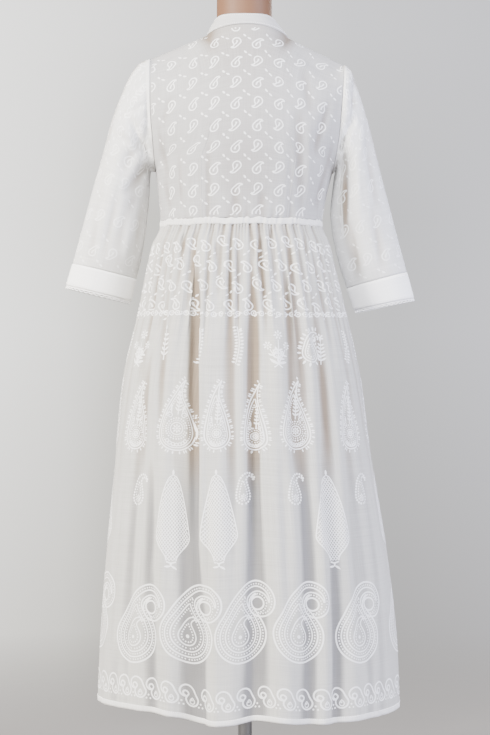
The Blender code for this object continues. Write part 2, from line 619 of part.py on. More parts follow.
def make_collar():
    turn = np.linspace(-math.pi, math.pi, 25)
    turn[[0, -1]] += np.array([1, -1]) * COLLAR_PARTING
    points = collar_face(turn[None, :], np.array([0, 0.5, 1.0])[:, None])
    normals = outward(points, normals_of(points, closed=False))
    normals[:, [0, -1], 0] = 0
    normals[0] = np.stack([np.sin(turn), -np.cos(turn), 0 * turn], axis=-1)
    normals[-1, :, 2] = 0
    return wall("collar_band", points, unit(normals), COLLAR_WALL, BAND)


def sleeve_normals(points):
    """Normals of a tube's rows, away from the middle of each row."""
    normals = normals_of(points, closed=True)
    middle = points.mean(axis=1, keepdims=True)
    return normals * np.sign(((points - middle) * normals).sum(axis=2).mean())


def make_sleeve(side):
    word = "left" if side < 0 else "right"
    angle = np.linspace(0, 2 * math.pi, AROUND_SLEEVE, endpoint=False)
    points = sleeve_face(side, angle[None, :], np.array(SLEEVE_ROWS)[:, None])
    normals = sleeve_normals(points)
    normals[0, :, 0] = 0
    normals = unit(normals)
    return wall(f"sleeve_{word}", points, normals, WALL, COTTON, closed=True)


def cuff_ring(side, angle, station):
    """A ring of the cuff band, which is proud of the sleeve by the thickness of its turned hem."""
    points = sleeve_face(side, angle, station)
    middle = points.mean(axis=-2, keepdims=True)
    return points + unit(points - middle) * CUFF_PROUD


def cuff_way(side, angle):
    """The hem ring of a cuff and the direction in which the cuff runs there."""
    last = (LEFT_SLEEVE if side < 0 else RIGHT_SLEEVE)[CUFF_STATION:]
    length = math.hypot(last[1].outer_x - last[0].outer_x, last[1].outer_z - last[0].outer_z)
    hem = cuff_ring(side, angle, float(CUFF_STATION + 1))
    start = cuff_ring(side, angle, float(CUFF_STATION))
    return hem, unit(hem - start), length


def make_cuff(side):
    word = "left" if side < 0 else "right"
    angle = np.linspace(0, 2 * math.pi, AROUND_SLEEVE, endpoint=False)
    length = cuff_way(side, angle)[2]
    stations = (CUFF_STATION + (SEAM_GAP + JOIN / 2) / length, CUFF_STATION + 1.0)
    points = np.stack([cuff_ring(side, angle, station) for station in stations])
    return wall(f"cuff_band_{word}", points, sleeve_normals(points), BAND_WALL, BAND, closed=True)


def make_lace(side):
    """Picot edging: a narrow tape whose lower edge is a row of points."""
    word = "left" if side < 0 else "right"
    angle = np.linspace(0, 2 * math.pi, SCALLOPS * 2, endpoint=False)
    hem, way, _ = cuff_way(side, angle)
    middle = hem.mean(axis=0)
    hem = hem - unit(hem - middle) * CUFF_PROUD
    low = np.where(np.arange(SCALLOPS * 2) % 2 == 0, LACE_TAPE, LACE_TAPE + SCALLOP_HEIGHT)
    rows = [hem + way * (SEAM_GAP + JOIN / 2), hem + way * (SEAM_GAP + low)[:, None]]
    points = np.stack(rows)
    return wall(f"cuff_lace_{word}", points, sleeve_normals(points), WALL, BAND, closed=True)


def make_placket():
    """A strip down the centre front, made from the panel's points, moved out."""
    heights = np.linspace(PLACKET_BOTTOM, PLACKET_TOP, 9)
    edge = math.asin(PLACKET_WIDTH / 2 / BODICE_SECTIONS[5].half_width) * 2 / math.pi
    across = np.linspace(-edge, edge, 3)
    points = bodice_face(1, across[None, :], heights[:, None])
    normals = outward(points, normals_of(points, closed=False))
    return wall("front_placket", points + normals * (LAYER_GAP + WALL), normals, WALL, BAND)


def make_buttons():
    """Small flat buttons on the placket, each a turned disc with softened edges."""
    heights = np.linspace(FIRST_BUTTON, LAST_BUTTON, BUTTONS)
    for number, height in enumerate(heights, start=1):
        around = height + np.array([-NEAR, 0, NEAR])
        points = bodice_face(1, np.array([-NEAR, 0, NEAR])[None, :], around[:, None])
        normal = outward(points, normals_of(points, closed=False))[1, 1]
        place = points[1, 1] + normal * (2 * LAYER_GAP + WALL)
        side = unit(np.cross([0.0, 0.0, 1.0], normal))
        rise = np.cross(normal, side)
        turn = np.linspace(0, 2 * math.pi, 14, endpoint=False)
        ring = np.cos(turn)[:, None] * side + np.sin(turn)[:, None] * rise
        rows = [
            place + ring * BUTTON_RADIUS * rim.share + normal * (BUTTON_THICK * rim.rise + JOIN / 2)
            for rim in BUTTON_RIMS
        ]
        faces = grid_faces(len(rows), len(turn), closed=True)
        last = (len(rows) - 1) * len(turn)
        faces.append(tuple(range(len(turn)))[::-1])
        faces.append(tuple(range(last, last + len(turn))))
        new_object(f"button_{number}", np.concatenate(rows), faces, BAND, roughness=0.35)


def form_columns():
    """Places across the form's back or front, with the neck edge's points."""
    neck = NECK_SHARE * np.sin(NECK_TURNS)
    left = np.linspace(-1, -NECK_SHARE, SHOULDER_COLUMNS)
    return np.concatenate([left[:-1], neck, -left[-2::-1]])


def form_loop(up):
    """A loop round the form at a share of the bodice's height: its back, then its front."""
    columns = form_columns()
    inside = WALL + SEATED + (CLEAR - SEATED) * (1 - ease(SEAT_START, SEAT_FULL, up))
    inside = inside + NECK_CLEAR * (1 - ease(NECK_SHARE, 2 * NECK_SHARE, np.abs(columns)))
    inside = inside + EDGE_CLEAR * ease(EDGE_START, 1, np.abs(columns))
    behind = bodice_face(-1, columns, up, inside)
    ahead = bodice_face(1, columns[::-1], up, inside)
    return np.concatenate([behind, ahead])


def low_loop(height, shrink=1.0):
    """A loop round the form below the waist seam."""
    width, back, front, centre = section_at(FORM_SECTIONS, np.array(height))
    columns = form_columns()
    angle = np.concatenate([columns, columns[::-1]]) * math.pi / 2
    side = np.concatenate([-np.ones_like(columns), np.ones_like(columns)])
    depth = np.where(side < 0, back, front)
    x = centre + width * shrink * np.sin(angle)
    y = side * depth * shrink * roundness(angle)
    return np.stack([x, y, np.full_like(x, height)], axis=-1)


def neck_ring(turn, height, share):
    """A ring of the form's neck, which is an upright oval column."""
    x = NECK_MIDDLE + FORM_NECK_WIDTH * share * np.sin(turn)
    y = -FORM_NECK_BACK - FORM_NECK_DEPTH * share * np.cos(turn)
    return np.stack([x, y, x * 0 + height], axis=-1)


def make_form():
    """A smooth limbless torso that follows the bodice from inside, with a plain neck."""
    loops = [form_loop(up) for up in bodice_heights()]
    half = len(loops[0]) // 2
    rows = [low_loop(FORM_BOTTOM + rim.rise, rim.share) for rim in FORM_RIM]
    rows += [low_loop(height) for height in FORM_HEIGHTS] + loops
    columns = len(rows[0])
    vertices = list(rows)
    faces = grid_faces(len(rows), columns, closed=True)
    faces.append(tuple(range(columns))[::-1])

    on_neck = [SHOULDER_COLUMNS - 1 + step for step in range(len(NECK_TURNS))]
    neck = on_neck + [half + step for step in on_neck][1:-1]
    start = rows[-1][neck]
    turn = np.arctan2(start[:, 0] - NECK_MIDDLE, -start[:, 1])
    count = len(neck)
    first = len(rows) * columns
    rings = []
    for row in NECK_ROOT_RINGS:
        height = start[:, 2] + row.rise * (NECK_ROOT - start[:, 2])
        ring = neck_ring(turn, height, 1.0)
        ring[:, :2] = ring[:, :2] * row.share + start[:, :2] * (1 - row.share)
        rings.append(ring)
    rings += [neck_ring(turn, NECK_TOP - rim.rise, rim.share) for rim in NECK_RIM]
    neck_rows = [start] + rings
    vertices += neck_rows
    faces += grid_faces(len(neck_rows), count, closed=True, first=first)
    top = first + (len(neck_rows) - 1) * count
    faces.append(tuple(range(top, top + count)))
    return new_object("form_torso", np.concatenate(vertices), faces, TAN, roughness=0.5)


def turned(name, profile, sides, colour, roughness, metallic):
    """A round piece from its profile of radius and height, bottom to top, with flat ends."""
    turn = np.linspace(0, 2 * math.pi, sides, endpoint=False)
    rows = [
        np.stack([radius * np.cos(turn), radius * np.sin(turn), 0 * turn + height], axis=-1)
        for radius, height in profile
    ]
    faces = grid_faces(len(rows), sides, closed=True)
    last = (len(rows) - 1) * sides
    faces.append(tuple(range(sides))[::-1])
    faces.append(tuple(range(last, last + sides)))
    thing = new_object(name, np.concatenate(rows), faces, colour, roughness)
    paint(thing, colour, roughness, metallic)
    return thing


def make_stand():
    base = [(BASE_RADIUS - SOFT_EDGE / 4, 0), (BASE_RADIUS, SOFT_EDGE / 4)]
    base += [(BASE_RADIUS, BASE_THICK - SOFT_EDGE), (BASE_RADIUS - SOFT_EDGE, BASE_THICK)]
    base += [(SOCKET_RADIUS + SOCKET_FILLET, BASE_THICK)]
    base += [(SOCKET_RADIUS, BASE_THICK + SOCKET_FILLET), (SOCKET_RADIUS, SOCKET_HEIGHT - SOFT_EDGE / 2)]
    base += [(SOCKET_RADIUS - SOFT_EDGE / 2, SOCKET_HEIGHT)]
    turned("stand_base", base, 48, STEEL, 0.35, 0.9)
    pole = [(POLE_RADIUS, SOCKET_HEIGHT + SEAM_GAP), (POLE_RADIUS, FORM_BOTTOM - SEAM_GAP)]
    turned("stand_pole", pole, 24, STEEL, 0.3, 0.9)


def main():
    for thing in list(bpy.data.objects):
        bpy.data.objects.remove(thing)
    for side in (-1, 1):
        make_bodice(side)
        make_skirt(side)
        make_sleeve(side)
        make_cuff(side)
        make_lace(side)
    make_piping()
    make_collar()
    make_placket()
    make_buttons()
    make_form()
    make_stand()


main()
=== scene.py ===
# %% [markdown]
# # A white block-printed gown on its dress form
#
# The real gown is cut from fine white cotton voile and printed with wooden blocks in opaque white paste. It
# has a fitted bodice, a band collar, flared three-quarter sleeves and a long skirt gathered into an empire
# waist. A plain dress form on a steel stand wears it. Every piece below is a surface worked out from two
# parameters, so a reader can change one size and see the whole piece follow.

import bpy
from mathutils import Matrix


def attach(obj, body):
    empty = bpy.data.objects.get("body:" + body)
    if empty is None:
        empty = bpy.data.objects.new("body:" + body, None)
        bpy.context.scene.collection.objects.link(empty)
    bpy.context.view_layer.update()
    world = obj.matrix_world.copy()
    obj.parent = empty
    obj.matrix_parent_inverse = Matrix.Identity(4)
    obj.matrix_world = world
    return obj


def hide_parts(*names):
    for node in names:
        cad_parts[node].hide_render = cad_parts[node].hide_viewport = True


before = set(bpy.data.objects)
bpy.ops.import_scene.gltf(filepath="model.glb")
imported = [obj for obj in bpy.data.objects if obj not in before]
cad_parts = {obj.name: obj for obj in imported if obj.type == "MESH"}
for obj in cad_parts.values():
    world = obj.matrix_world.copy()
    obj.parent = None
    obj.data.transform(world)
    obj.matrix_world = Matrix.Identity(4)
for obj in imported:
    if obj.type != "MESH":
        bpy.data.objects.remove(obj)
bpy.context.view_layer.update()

import math
from collections import namedtuple

import bmesh
import bpy
import numpy as np

# %% [markdown]
# ## Camera
#
# The view is level, straight at the gown's back. One pixel of the picture is 1.8 mm at the gown's middle,
# and the camera stands 3.4 m away, so the lens follows from those two sizes and the picture's height of 735
# pixels.

# %% Camera
PIXEL = 0.0018
CAMERA_DISTANCE = 3.4
CAMERA_HEIGHT = 0.817
PICTURE = (490, 735)
SENSOR = 36.0

camera_data = bpy.data.cameras.new("camera")
camera_data.sensor_width = SENSOR
camera_data.lens = SENSOR * CAMERA_DISTANCE / (PICTURE[1] * PIXEL)
camera = bpy.data.objects.new("camera", camera_data)
camera.location = (0, -CAMERA_DISTANCE, CAMERA_HEIGHT)
camera.rotation_euler = (math.pi / 2, 0, 0)
bpy.context.scene.collection.objects.link(camera)
bpy.context.scene.camera = camera
print(f"lens {camera_data.lens:.1f} mm")

# %% [markdown]
# ## Light and surroundings
#
# The gown stands in a pale studio. A large soft light comes from the left and a weaker, cooler one from the
# right. A small one high in front throws the shadow under the hem, and one on the far side lights what the
# camera doesn't see. A bright room is all round: it is the world's colour, warm on the left and cooler on the
# right, so nothing stands in the way of a view from behind. The floor is a pale disc that fades out before it
# ends.


# %% Colour and node helpers
def linear(hex_colour):
    """A hex colour as it shows on a screen, turned to the linear values that shaders take."""
    value = np.array([int(hex_colour[i : i + 2], 16) for i in (1, 3, 5)]) / 255
    value = np.where(value <= 0.04045, value / 12.92, ((value + 0.055) / 1.055) ** 2.4)
    return (*value, 1.0)


def add(tree, kind, inputs=None, **settings):
    """Adds a node with its settings. inputs holds a plain value or another node's socket for each input."""
    node = tree.nodes.new(kind)
    for name, value in settings.items():
        setattr(node, name, value)
    for name, value in (inputs or {}).items():
        if isinstance(value, bpy.types.NodeSocket):
            tree.links.new(value, node.inputs[name])
        else:
            node.inputs[name].default_value = value
    return node


def ramp(tree, factor, *stops):
    """A colour ramp from pairs of place and hex colour."""
    node = add(tree, "ShaderNodeValToRGB", {"Fac": factor})
    elements = node.color_ramp.elements
    while len(elements) < len(stops):
        elements.new(0.5)
    for element, (place, colour) in zip(elements, stops):
        element.position = place
        element.color = linear(colour)
    return node.outputs["Color"]


# %% World and lights
world = bpy.data.worlds.new("studio")
world.use_nodes = True
bpy.context.scene.world = world
sky = world.node_tree
sky.nodes.clear()
way = add(sky, "ShaderNodeTexCoord").outputs["Generated"]
split = add(sky, "ShaderNodeSeparateXYZ", {"Vector": way})
side = add(sky, "ShaderNodeMapRange", {"Value": split.outputs["X"], "From Min": -0.14, "From Max": 0.14})
rise = add(sky, "ShaderNodeMapRange", {"Value": split.outputs["Z"], "From Min": -0.20, "From Max": 0.02})
open_room = (0.0, "#E6E5E2"), (0.3, "#CBCAC9"), (0.7, "#A9A9AC"), (1.0, "#A0A0A5")
across_room = ramp(sky, side.outputs["Result"], *open_room)
up_room = ramp(sky, rise.outputs["Result"], (0.0, "#C4C1BC"), (1.0, "#FFFFFF"))
both_ways = {"Fac": 1.0, "Color1": across_room, "Color2": up_room}
room = add(sky, "ShaderNodeMixRGB", both_ways, blend_type="MULTIPLY")
# The backdrop is darker close to the gown, below the shoulders, where the gown keeps the light off it
near_gown = (
    (0.0, "#E2E1DE"),
    (0.16, "#D0CFCB"),
    (0.30, "#A8A6A0"),
    (0.60, "#9C9B99"),
    (0.78, "#98989A"),
    (1.0, "#A0A0A5"),
)
shaded = ramp(sky, side.outputs["Result"], *near_gown)
below = add(sky, "ShaderNodeMapRange", {"Value": split.outputs["Z"], "From Min": 0.17, "From Max": 0.08})
picked = {"Fac": below.outputs["Result"], "Color1": across_room, "Color2": shaded}
behind = add(sky, "ShaderNodeMixRGB", picked).outputs["Color"]
both_ways = {"Fac": 1.0, "Color1": behind, "Color2": up_room}
drop = add(sky, "ShaderNodeMixRGB", both_ways, blend_type="MULTIPLY")
SEEN_ROOM = 2.9  # strength of the room as the camera sees it
ROOM_LIGHT = 1.35  # and as it lights the gown
seen = add(sky, "ShaderNodeBackground", {"Color": drop.outputs["Color"], "Strength": SEEN_ROOM})
soft = add(sky, "ShaderNodeBackground", {"Color": room.outputs["Color"], "Strength": ROOM_LIGHT})
looked_at = add(sky, "ShaderNodeLightPath").outputs["Is Camera Ray"]
choice = {0: looked_at, 1: soft.outputs["Background"], 2: seen.outputs["Background"]}
both = add(sky, "ShaderNodeMixShader", choice)
add(sky, "ShaderNodeOutputWorld", {"Surface": both.outputs["Shader"]})


def soft_light(name, place, size, power, colour):
    """A square area light aimed at the gown's middle."""
    light = bpy.data.lights.new(name, "AREA")
    light.size = size
    light.energy = power
    light.color = linear(colour)[:3]
    lamp = bpy.data.objects.new(name, light)
    lamp.location = place
    aim = np.array([0, 0, 0.85]) - np.array(place)
    lamp.rotation_euler = (math.atan2(math.hypot(aim[0], aim[1]), -aim[2]), 0, math.atan2(-aim[0], aim[1]))
    bpy.context.scene.collection.objects.link(lamp)
    return lamp


soft_light("key_left", (-2.8, -2.0, 2.2), 1.0, 440, "#FFF8EE")
soft_light("fill_right", (2.9, -1.7, 1.4), 1.4, 270, "#E4E7FF")
soft_light("front_high", (-0.5, -2.0, 2.7), 0.5, 110, "#FFFFFF")
soft_light("far_side", (1.2, 2.8, 2.3), 1.8, 85, "#FFFFFF")

# %% Floor
FLOOR_RADIUS = 2.6
FLOOR_CLEAR = 0.9  # distance from the middle at which the floor starts to fade
FLOOR_GONE = 2.5  # and at which it is gone
turn = np.linspace(0, 2 * math.pi, 96, endpoint=False)
rim = np.stack([FLOOR_RADIUS * np.cos(turn), FLOOR_RADIUS * np.sin(turn), 0 * turn], axis=-1)
floor_mesh = bpy.data.meshes.new("floor")
floor_mesh.from_pydata(rim.tolist(), [], [list(range(96))])
floor = bpy.data.objects.new("floor", floor_mesh)
bpy.context.scene.collection.objects.link(floor)
paint = bpy.data.materials.new("pale painted floor")
paint.use_nodes = True
tree = paint.node_tree
place = add(tree, "ShaderNodeTexCoord").outputs["Object"]
away = add(tree, "ShaderNodeVectorMath", {0: place}, operation="LENGTH").outputs["Value"]
fading = {"Value": away, "From Min": FLOOR_CLEAR, "From Max": FLOOR_GONE, "To Min": 1, "To Max": 0}
fade = add(tree, "ShaderNodeMapRange", fading)
shader = tree.nodes["Principled BSDF"]
shader.inputs["Base Color"].default_value = linear("#7F7C79")
shader.inputs["Roughness"].default_value = 0.85
tree.links.new(fade.outputs["Result"], shader.inputs["Alpha"])
floor_mesh.materials.append(paint)
print("the stage holds", floor.name)

# %% [markdown]
# ## The garment's sizes
#
# A gown is a wall of cloth round a body. Each row of these tables is one level section or one fold, in
# metres, with the floor at zero, the back towards -Y and the left sleeve towards -X. The same sizes give
# the solids that this cloth stands for, so the fine pieces lie exactly over them.
# %% Sizes and tables
# Cloth and seams
WALL = 0.0011  # the solid wall that stands for one layer of cotton
SEAM_GAP = 0.0003  # between pieces that are sewn together
JOIN = 0.0002  # more than that, where a seam curves
LAYER_GAP = 0.0003  # between a panel and what lies on it

# Heights above the floor
WAIST_SEAM = 1.0735
PIPING_HEIGHT = 0.0090
SKIRT_TOP = WAIST_SEAM - PIPING_HEIGHT / 2 - SEAM_GAP
BODICE_BOTTOM = WAIST_SEAM + PIPING_HEIGHT / 2 + SEAM_GAP
ARMPIT = 1.1690
NECK_SIDE = {-1: 1.4140, 1: 1.4095}  # where collar and shoulder seam meet, left and right
SHOULDER_TIP = {-1: 1.3715, 1: 1.3600}
NECK_CENTRE = {-1: 1.4250, 1: 1.3740}  # centre back and centre front
COLLAR_TOP = {-1: 1.4445, 1: 1.4010}
COLLAR_SIDE = 1.4370
COLLAR_WIDTH = 0.0533  # half widths and depths of the collar's top edge
COLLAR_DEPTH = 0.0550
NECK_MIDDLE = -0.0010
COLLAR_BOW = 0.0016  # how far the band swells out half way up
COLLAR_PARTING = 0.030  # in radians, how far each end stops short of the centre front
FORM_BOTTOM = 0.6360
NECK_TOP = 1.5300
NECK_ROOT = 1.4480  # where the form's neck has its full shape

# Bodice
SIDE_ROUND = 0.16  # how much fuller than an ellipse a section is towards its sides
ARMHOLE_DEPTH = 0.0560  # half the armhole, front to back
ARMHOLE_TURN = math.radians(36)  # how far the panel stops short of facing sideways at the armhole
CLOSING = 0.40  # share of the height where back and front start to lean towards the shoulder seam
NECK_SHARE = 0.275  # share of the half panel that ends in the neckline
NECK_DEPTH = {-1: 0.56, 1: 0.64}  # depth of the neckline beside the panel's
NECK_SPREAD = 2.4  # how many times wider its hollow has become lower down
NECK_CURVE = 2.2  # how late the neckline rises towards the shoulder seam
NECK_START = 0.85  # share of the height from which the hollow narrows to the neckline
DART_DEPTH = 0.0013
DART_WIDTH = 0.0050
DART_TOP = 0.50  # share of the bodice's height
DARTS = (-0.0650, 0.0790)  # from the centre line, on the back
DART_PLACES = (-0.318, 0.380)  # the same darts as shares of the half panel

# Skirt
GATHERS = 28  # on each of the two panels
GATHER_DEPTH = 0.0021
GATHER_LENGTH = 0.16  # the shortest gather, as a share of the skirt's length
GATHER_LONGER = 0.20  # how much longer than that the longest one is
SIDE_FOLD = 0.0130  # how deep both panels fall in at the side seams, near the hem
SIDE_FOLD_SHARE = 0.085  # half width of that fold, as a share of the half panel
SIDE_RIDGE = 0.0060  # the soft ridge beside it
SIDE_FOLD_START = 0.30  # shares of the length between which the side fold deepens
SIDE_FOLD_FULL = 0.75
FOLD_RISE = 0.25  # share of the length over which a fold deepens, and then fades
FOLD_FADE = 0.30
TOP_FOLD = 0.55  # depth of a fold at the waist beside its depth at the hem

# Sleeves, placket, buttons and lace
CUFF_STATION = 8  # row of the sleeve table where the cuff band starts
ARMHOLE_ROWS = 1.6  # rows of the sleeve table over which the sleeve leaves the armhole's form
PLACKET_WIDTH = 0.0240
PLACKET_BOTTOM = 0.42  # share of the bodice's height
PLACKET_TOP = 0.975
BUTTON_RADIUS = 0.0055
BUTTON_THICK = 0.0022
BUTTONS = 4

# Dress form and stand
SEATED = 0.0007  # between the form and the bodice, where the gown hangs from the shoulders
CLEAR = 0.0050  # lower down
NECK_CLEAR = 0.0042  # more than that beside the neckline
EDGE_CLEAR = 0.0015  # and beside the armholes
FORM_NECK_WIDTH = 0.0498
FORM_NECK_DEPTH = 0.0500
FORM_NECK_BACK = 0.0020  # how far the neck's middle lies behind the collar's
POLE_RADIUS = 0.0125
BASE_RADIUS = 0.1800
BASE_THICK = 0.0100
SOCKET_RADIUS = 0.0220
SOCKET_HEIGHT = 0.0450



Section = namedtuple("Section", "height half_width back front centre")
BODICE_SECTIONS = [
    Section(1.0600, 0.1444, 0.1040, 0.1060, -0.0070),
    Section(1.0735, 0.1448, 0.1050, 0.1080, -0.0068),
    Section(1.1200, 0.1500, 0.1090, 0.1205, -0.0050),
    Section(1.1690, 0.1590, 0.1140, 0.1275, -0.0014),
    Section(1.2120, 0.1640, 0.1180, 0.1262, 0.0010),
    Section(1.2700, 0.1690, 0.1190, 0.1165, 0.0017),
    Section(1.3300, 0.1720, 0.1120, 0.1030, 0.0035),
    Section(1.3750, 0.1740, 0.1050, 0.0960, 0.0045),
    Section(1.4300, 0.1740, 0.1050, 0.0960, 0.0045),
]
SKIRT_SECTIONS = [
    Section(1.0735, 0.1448, 0.1050, 0.1080, -0.0068),
    Section(1.0690, 0.1450, 0.1052, 0.1083, -0.0068),
    Section(1.0410, 0.1575, 0.1140, 0.1150, -0.0075),
    Section(0.9940, 0.1690, 0.1270, 0.1260, -0.0070),
    Section(0.9187, 0.1860, 0.1440, 0.1420, -0.0055),
    Section(0.8107, 0.2110, 0.1680, 0.1640, -0.0060),
    Section(0.7117, 0.2245, 0.1870, 0.1830, -0.0045),
    Section(0.6290, 0.2340, 0.2010, 0.1970, -0.0020),
    Section(0.4850, 0.2510, 0.2220, 0.2180, 0.0030),
    Section(0.3190, 0.2660, 0.2390, 0.2350, 0.0065),
    Section(0.2100, 0.2700, 0.2460, 0.2420, 0.0065),
]
FORM_SECTIONS = [
    Section(0.6300, 0.1560, 0.1050, 0.0960, -0.0040),
    Section(0.7000, 0.1650, 0.1200, 0.1020, -0.0045),
    Section(0.7700, 0.1690, 0.1280, 0.1050, -0.0050),
    Section(0.8500, 0.1580, 0.1180, 0.1040, -0.0060),
    Section(0.9300, 0.1320, 0.0960, 0.0980, -0.0065),
    Section(0.9850, 0.1220, 0.0900, 0.0960, -0.0070),
    Section(1.0300, 0.1300, 0.0940, 0.0980, -0.0070),
    Section(1.0780, 0.1405, 0.1005, 0.1045, -0.0067),
]

# Folds of the skirt. Places are from the centre line, at the waist and at the hem. A depth below zero is a
# valley. start and end are shares of the skirt's length, left and right are half widths at the hem.
Fold = namedtuple("Fold", "waist hem start end depth left right")
BACK_FOLDS = [
    Fold(-0.128, -0.163, 0.10, 1.30, -0.0070, 0.020, 0.020),
    Fold(-0.112, -0.140, 0.15, 1.30, 0.0045, 0.016, 0.016),
    Fold(-0.085, -0.110, 0.25, 1.30, -0.0080, 0.018, 0.018),
    Fold(-0.066, -0.080, 0.02, 1.30, -0.0150, 0.034, 0.010),
    Fold(-0.040, -0.052, 0.04, 1.30, 0.0090, 0.014, 0.024),
    Fold(-0.010, -0.016, 0.04, 0.75, -0.0070, 0.014, 0.014),
    Fold(0.018, 0.008, 0.02, 1.30, -0.0160, 0.020, 0.024),
    Fold(0.046, 0.060, 0.04, 1.30, 0.0090, 0.026, 0.026),
    Fold(0.078, 0.103, 0.05, 1.30, -0.0100, 0.018, 0.022),
    Fold(0.095, 0.127, 0.08, 1.30, 0.0050, 0.016, 0.016),
    Fold(0.108, 0.150, 0.10, 1.30, -0.0080, 0.018, 0.018),
    Fold(0.118, 0.178, 0.15, 1.30, 0.0045, 0.018, 0.018),
]
FRONT_FOLDS = [
    Fold(-0.118, -0.170, 0.08, 1.30, -0.0090, 0.022, 0.018),
    Fold(-0.092, -0.132, 0.05, 1.30, 0.0070, 0.020, 0.020),
    Fold(-0.064, -0.088, 0.03, 1.30, -0.0130, 0.022, 0.018),
    Fold(-0.034, -0.046, 0.06, 1.30, 0.0085, 0.022, 0.022),
    Fold(-0.008, -0.004, 0.03, 1.30, -0.0120, 0.016, 0.024),
    Fold(0.024, 0.042, 0.05, 1.30, 0.0090, 0.024, 0.020),
    Fold(0.052, 0.084, 0.04, 1.30, -0.0120, 0.018, 0.022),
    Fold(0.080, 0.122, 0.10, 1.30, 0.0060, 0.020, 0.018),
    Fold(0.106, 0.162, 0.06, 1.30, -0.0090, 0.020, 0.020),
]
HemPoint = namedtuple("HemPoint", "across height")  # across is from -1 to 1 over the panel
BACK_HEM = [
    HemPoint(-1.00, 0.2340),
    HemPoint(-0.75, 0.2310),
    HemPoint(-0.50, 0.2330),
    HemPoint(-0.32, 0.2280),
    HemPoint(-0.20, 0.2175),
    HemPoint(-0.08, 0.2180),
    HemPoint(0.04, 0.2240),
    HemPoint(0.26, 0.2165),
    HemPoint(0.50, 0.2175),
    HemPoint(0.80, 0.2200),
    HemPoint(1.00, 0.2330),
]
FRONT_HEM = [
    HemPoint(-1.00, 0.2340),
    HemPoint(-0.85, 0.2380),
    HemPoint(-0.40, 0.2260),
    HemPoint(-0.10, 0.2220),
    HemPoint(0.30, 0.2250),
    HemPoint(0.85, 0.2390),
    HemPoint(1.00, 0.2330),
]

# Sleeve sections. Each runs from an outer to an inner point, given as the distance from the centre line and
# the height. depth is half of it from front to back, forward is how far its middle lies towards the front.
Ring = namedtuple("Ring", "outer_x outer_z inner_x inner_z depth forward")
LEFT_SLEEVE = [
    Ring(0.1700, 1.3715, 0.1606, 1.1690, 0.0560, 0.000),
    Ring(0.1885, 1.3640, 0.1640, 1.1695, 0.0580, 0.000),
    Ring(0.2060, 1.3420, 0.1665, 1.1700, 0.0590, 0.001),
    Ring(0.2228, 1.3057, 0.1685, 1.1700, 0.0600, 0.002),
    Ring(0.2412, 1.2570, 0.1700, 1.1690, 0.0595, 0.004),
    Ring(0.2560, 1.2020, 0.1712, 1.1560, 0.0570, 0.008),
    Ring(0.2756, 1.1356, 0.1745, 1.1030, 0.0530, 0.014),
    Ring(0.2986, 1.0537, 0.1860, 1.0220, 0.0470, 0.020),
    Ring(0.3123, 1.0051, 0.1971, 0.9768, 0.0430, 0.024),
    Ring(0.3240, 0.9660, 0.2070, 0.9370, 0.0410, 0.027),
]
RIGHT_SLEEVE = [
    Ring(0.1784, 1.3600, 0.1578, 1.1690, 0.0560, 0.000),
    Ring(0.1895, 1.3520, 0.1602, 1.1695, 0.0580, 0.000),
    Ring(0.1985, 1.3300, 0.1618, 1.1700, 0.0590, 0.001),
    Ring(0.2095, 1.2967, 0.1625, 1.1695, 0.0600, 0.002),
    Ring(0.2235, 1.2500, 0.1620, 1.1660, 0.0590, 0.004),
    Ring(0.2372, 1.1960, 0.1600, 1.1520, 0.0565, 0.008),
    Ring(0.2570, 1.1210, 0.1545, 1.0880, 0.0530, 0.014),
    Ring(0.2768, 1.0483, 0.1665, 1.0180, 0.0470, 0.020),
    Ring(0.2930, 0.9895, 0.1843, 0.9600, 0.0430, 0.024),
    Ring(0.3058, 0.9430, 0.1985, 0.9210, 0.0410, 0.027),
]
# Soft folds of the sleeves: where round the sleeve, 0 on top and 90 at the back, and which table rows they
# span
Crease = namedtuple("Crease", "angle turn start end depth width")
LEFT_CREASES = [
    Crease(62, -20, 0.2, 3.6, -0.0040, 13),
    Crease(125, -38, 2.6, 5.6, -0.0055, 15),
    Crease(150, -50, 4.4, 7.2, -0.0045, 16),
    Crease(75, 6, 4.6, 7.9, 0.0030, 20),
    Crease(300, 25, 1.0, 5.0, -0.0045, 16),
    Crease(235, 35, 3.2, 6.6, -0.0055, 16),
]
RIGHT_CREASES = [
    Crease(58, -14, 0.2, 4.2, -0.0050, 12),
    Crease(118, 8, 2.2, 6.8, -0.0060, 13),
    Crease(140, -10, 5.6, 8.0, -0.0050, 14),
    Crease(75, 8, 3.6, 7.6, 0.0030, 20),
    Crease(295, 20, 1.0, 5.2, -0.0045, 16),
    Crease(238, 30, 3.0, 6.4, -0.0050, 16),
]


def smooth_curve(known, values, wanted):
    """Values on a smooth cubic curve through the known points."""
    known = np.asarray(known, float)
    values = np.asarray(values, float)
    slopes = np.gradient(values, known)
    wanted = np.clip(wanted, known[0], known[-1])
    row = np.clip(np.searchsorted(known, wanted, side="right") - 1, 0, len(known) - 2)
    span = known[row + 1] - known[row]
    part = (wanted - known[row]) / span
    rise = 3 * part**2 - 2 * part**3
    start = part - 2 * part**2 + part**3
    stop = part**3 - part**2
    level = values[row] * (1 - rise) + values[row + 1] * rise
    return level + span * (slopes[row] * start + slopes[row + 1] * stop)


def ease(low, high, value):
    """0 below low, 1 above high, and smooth between."""
    part = np.clip((value - low) / (high - low), 0, 1)
    return part * part * (3 - 2 * part)


def section_at(table, height):
    """Half width, depths and centre of a table of sections at each height."""
    rows = sorted(table)
    heights = [row.height for row in rows]
    columns = zip(*[row[1:] for row in rows])
    return [smooth_curve(heights, column, height) for column in columns]


def roundness(angle):
    """Depth of a section at each angle from its middle, beside its depth in the middle."""
    return np.cos(angle) * (1 + SIDE_ROUND * np.sin(angle) ** 2)


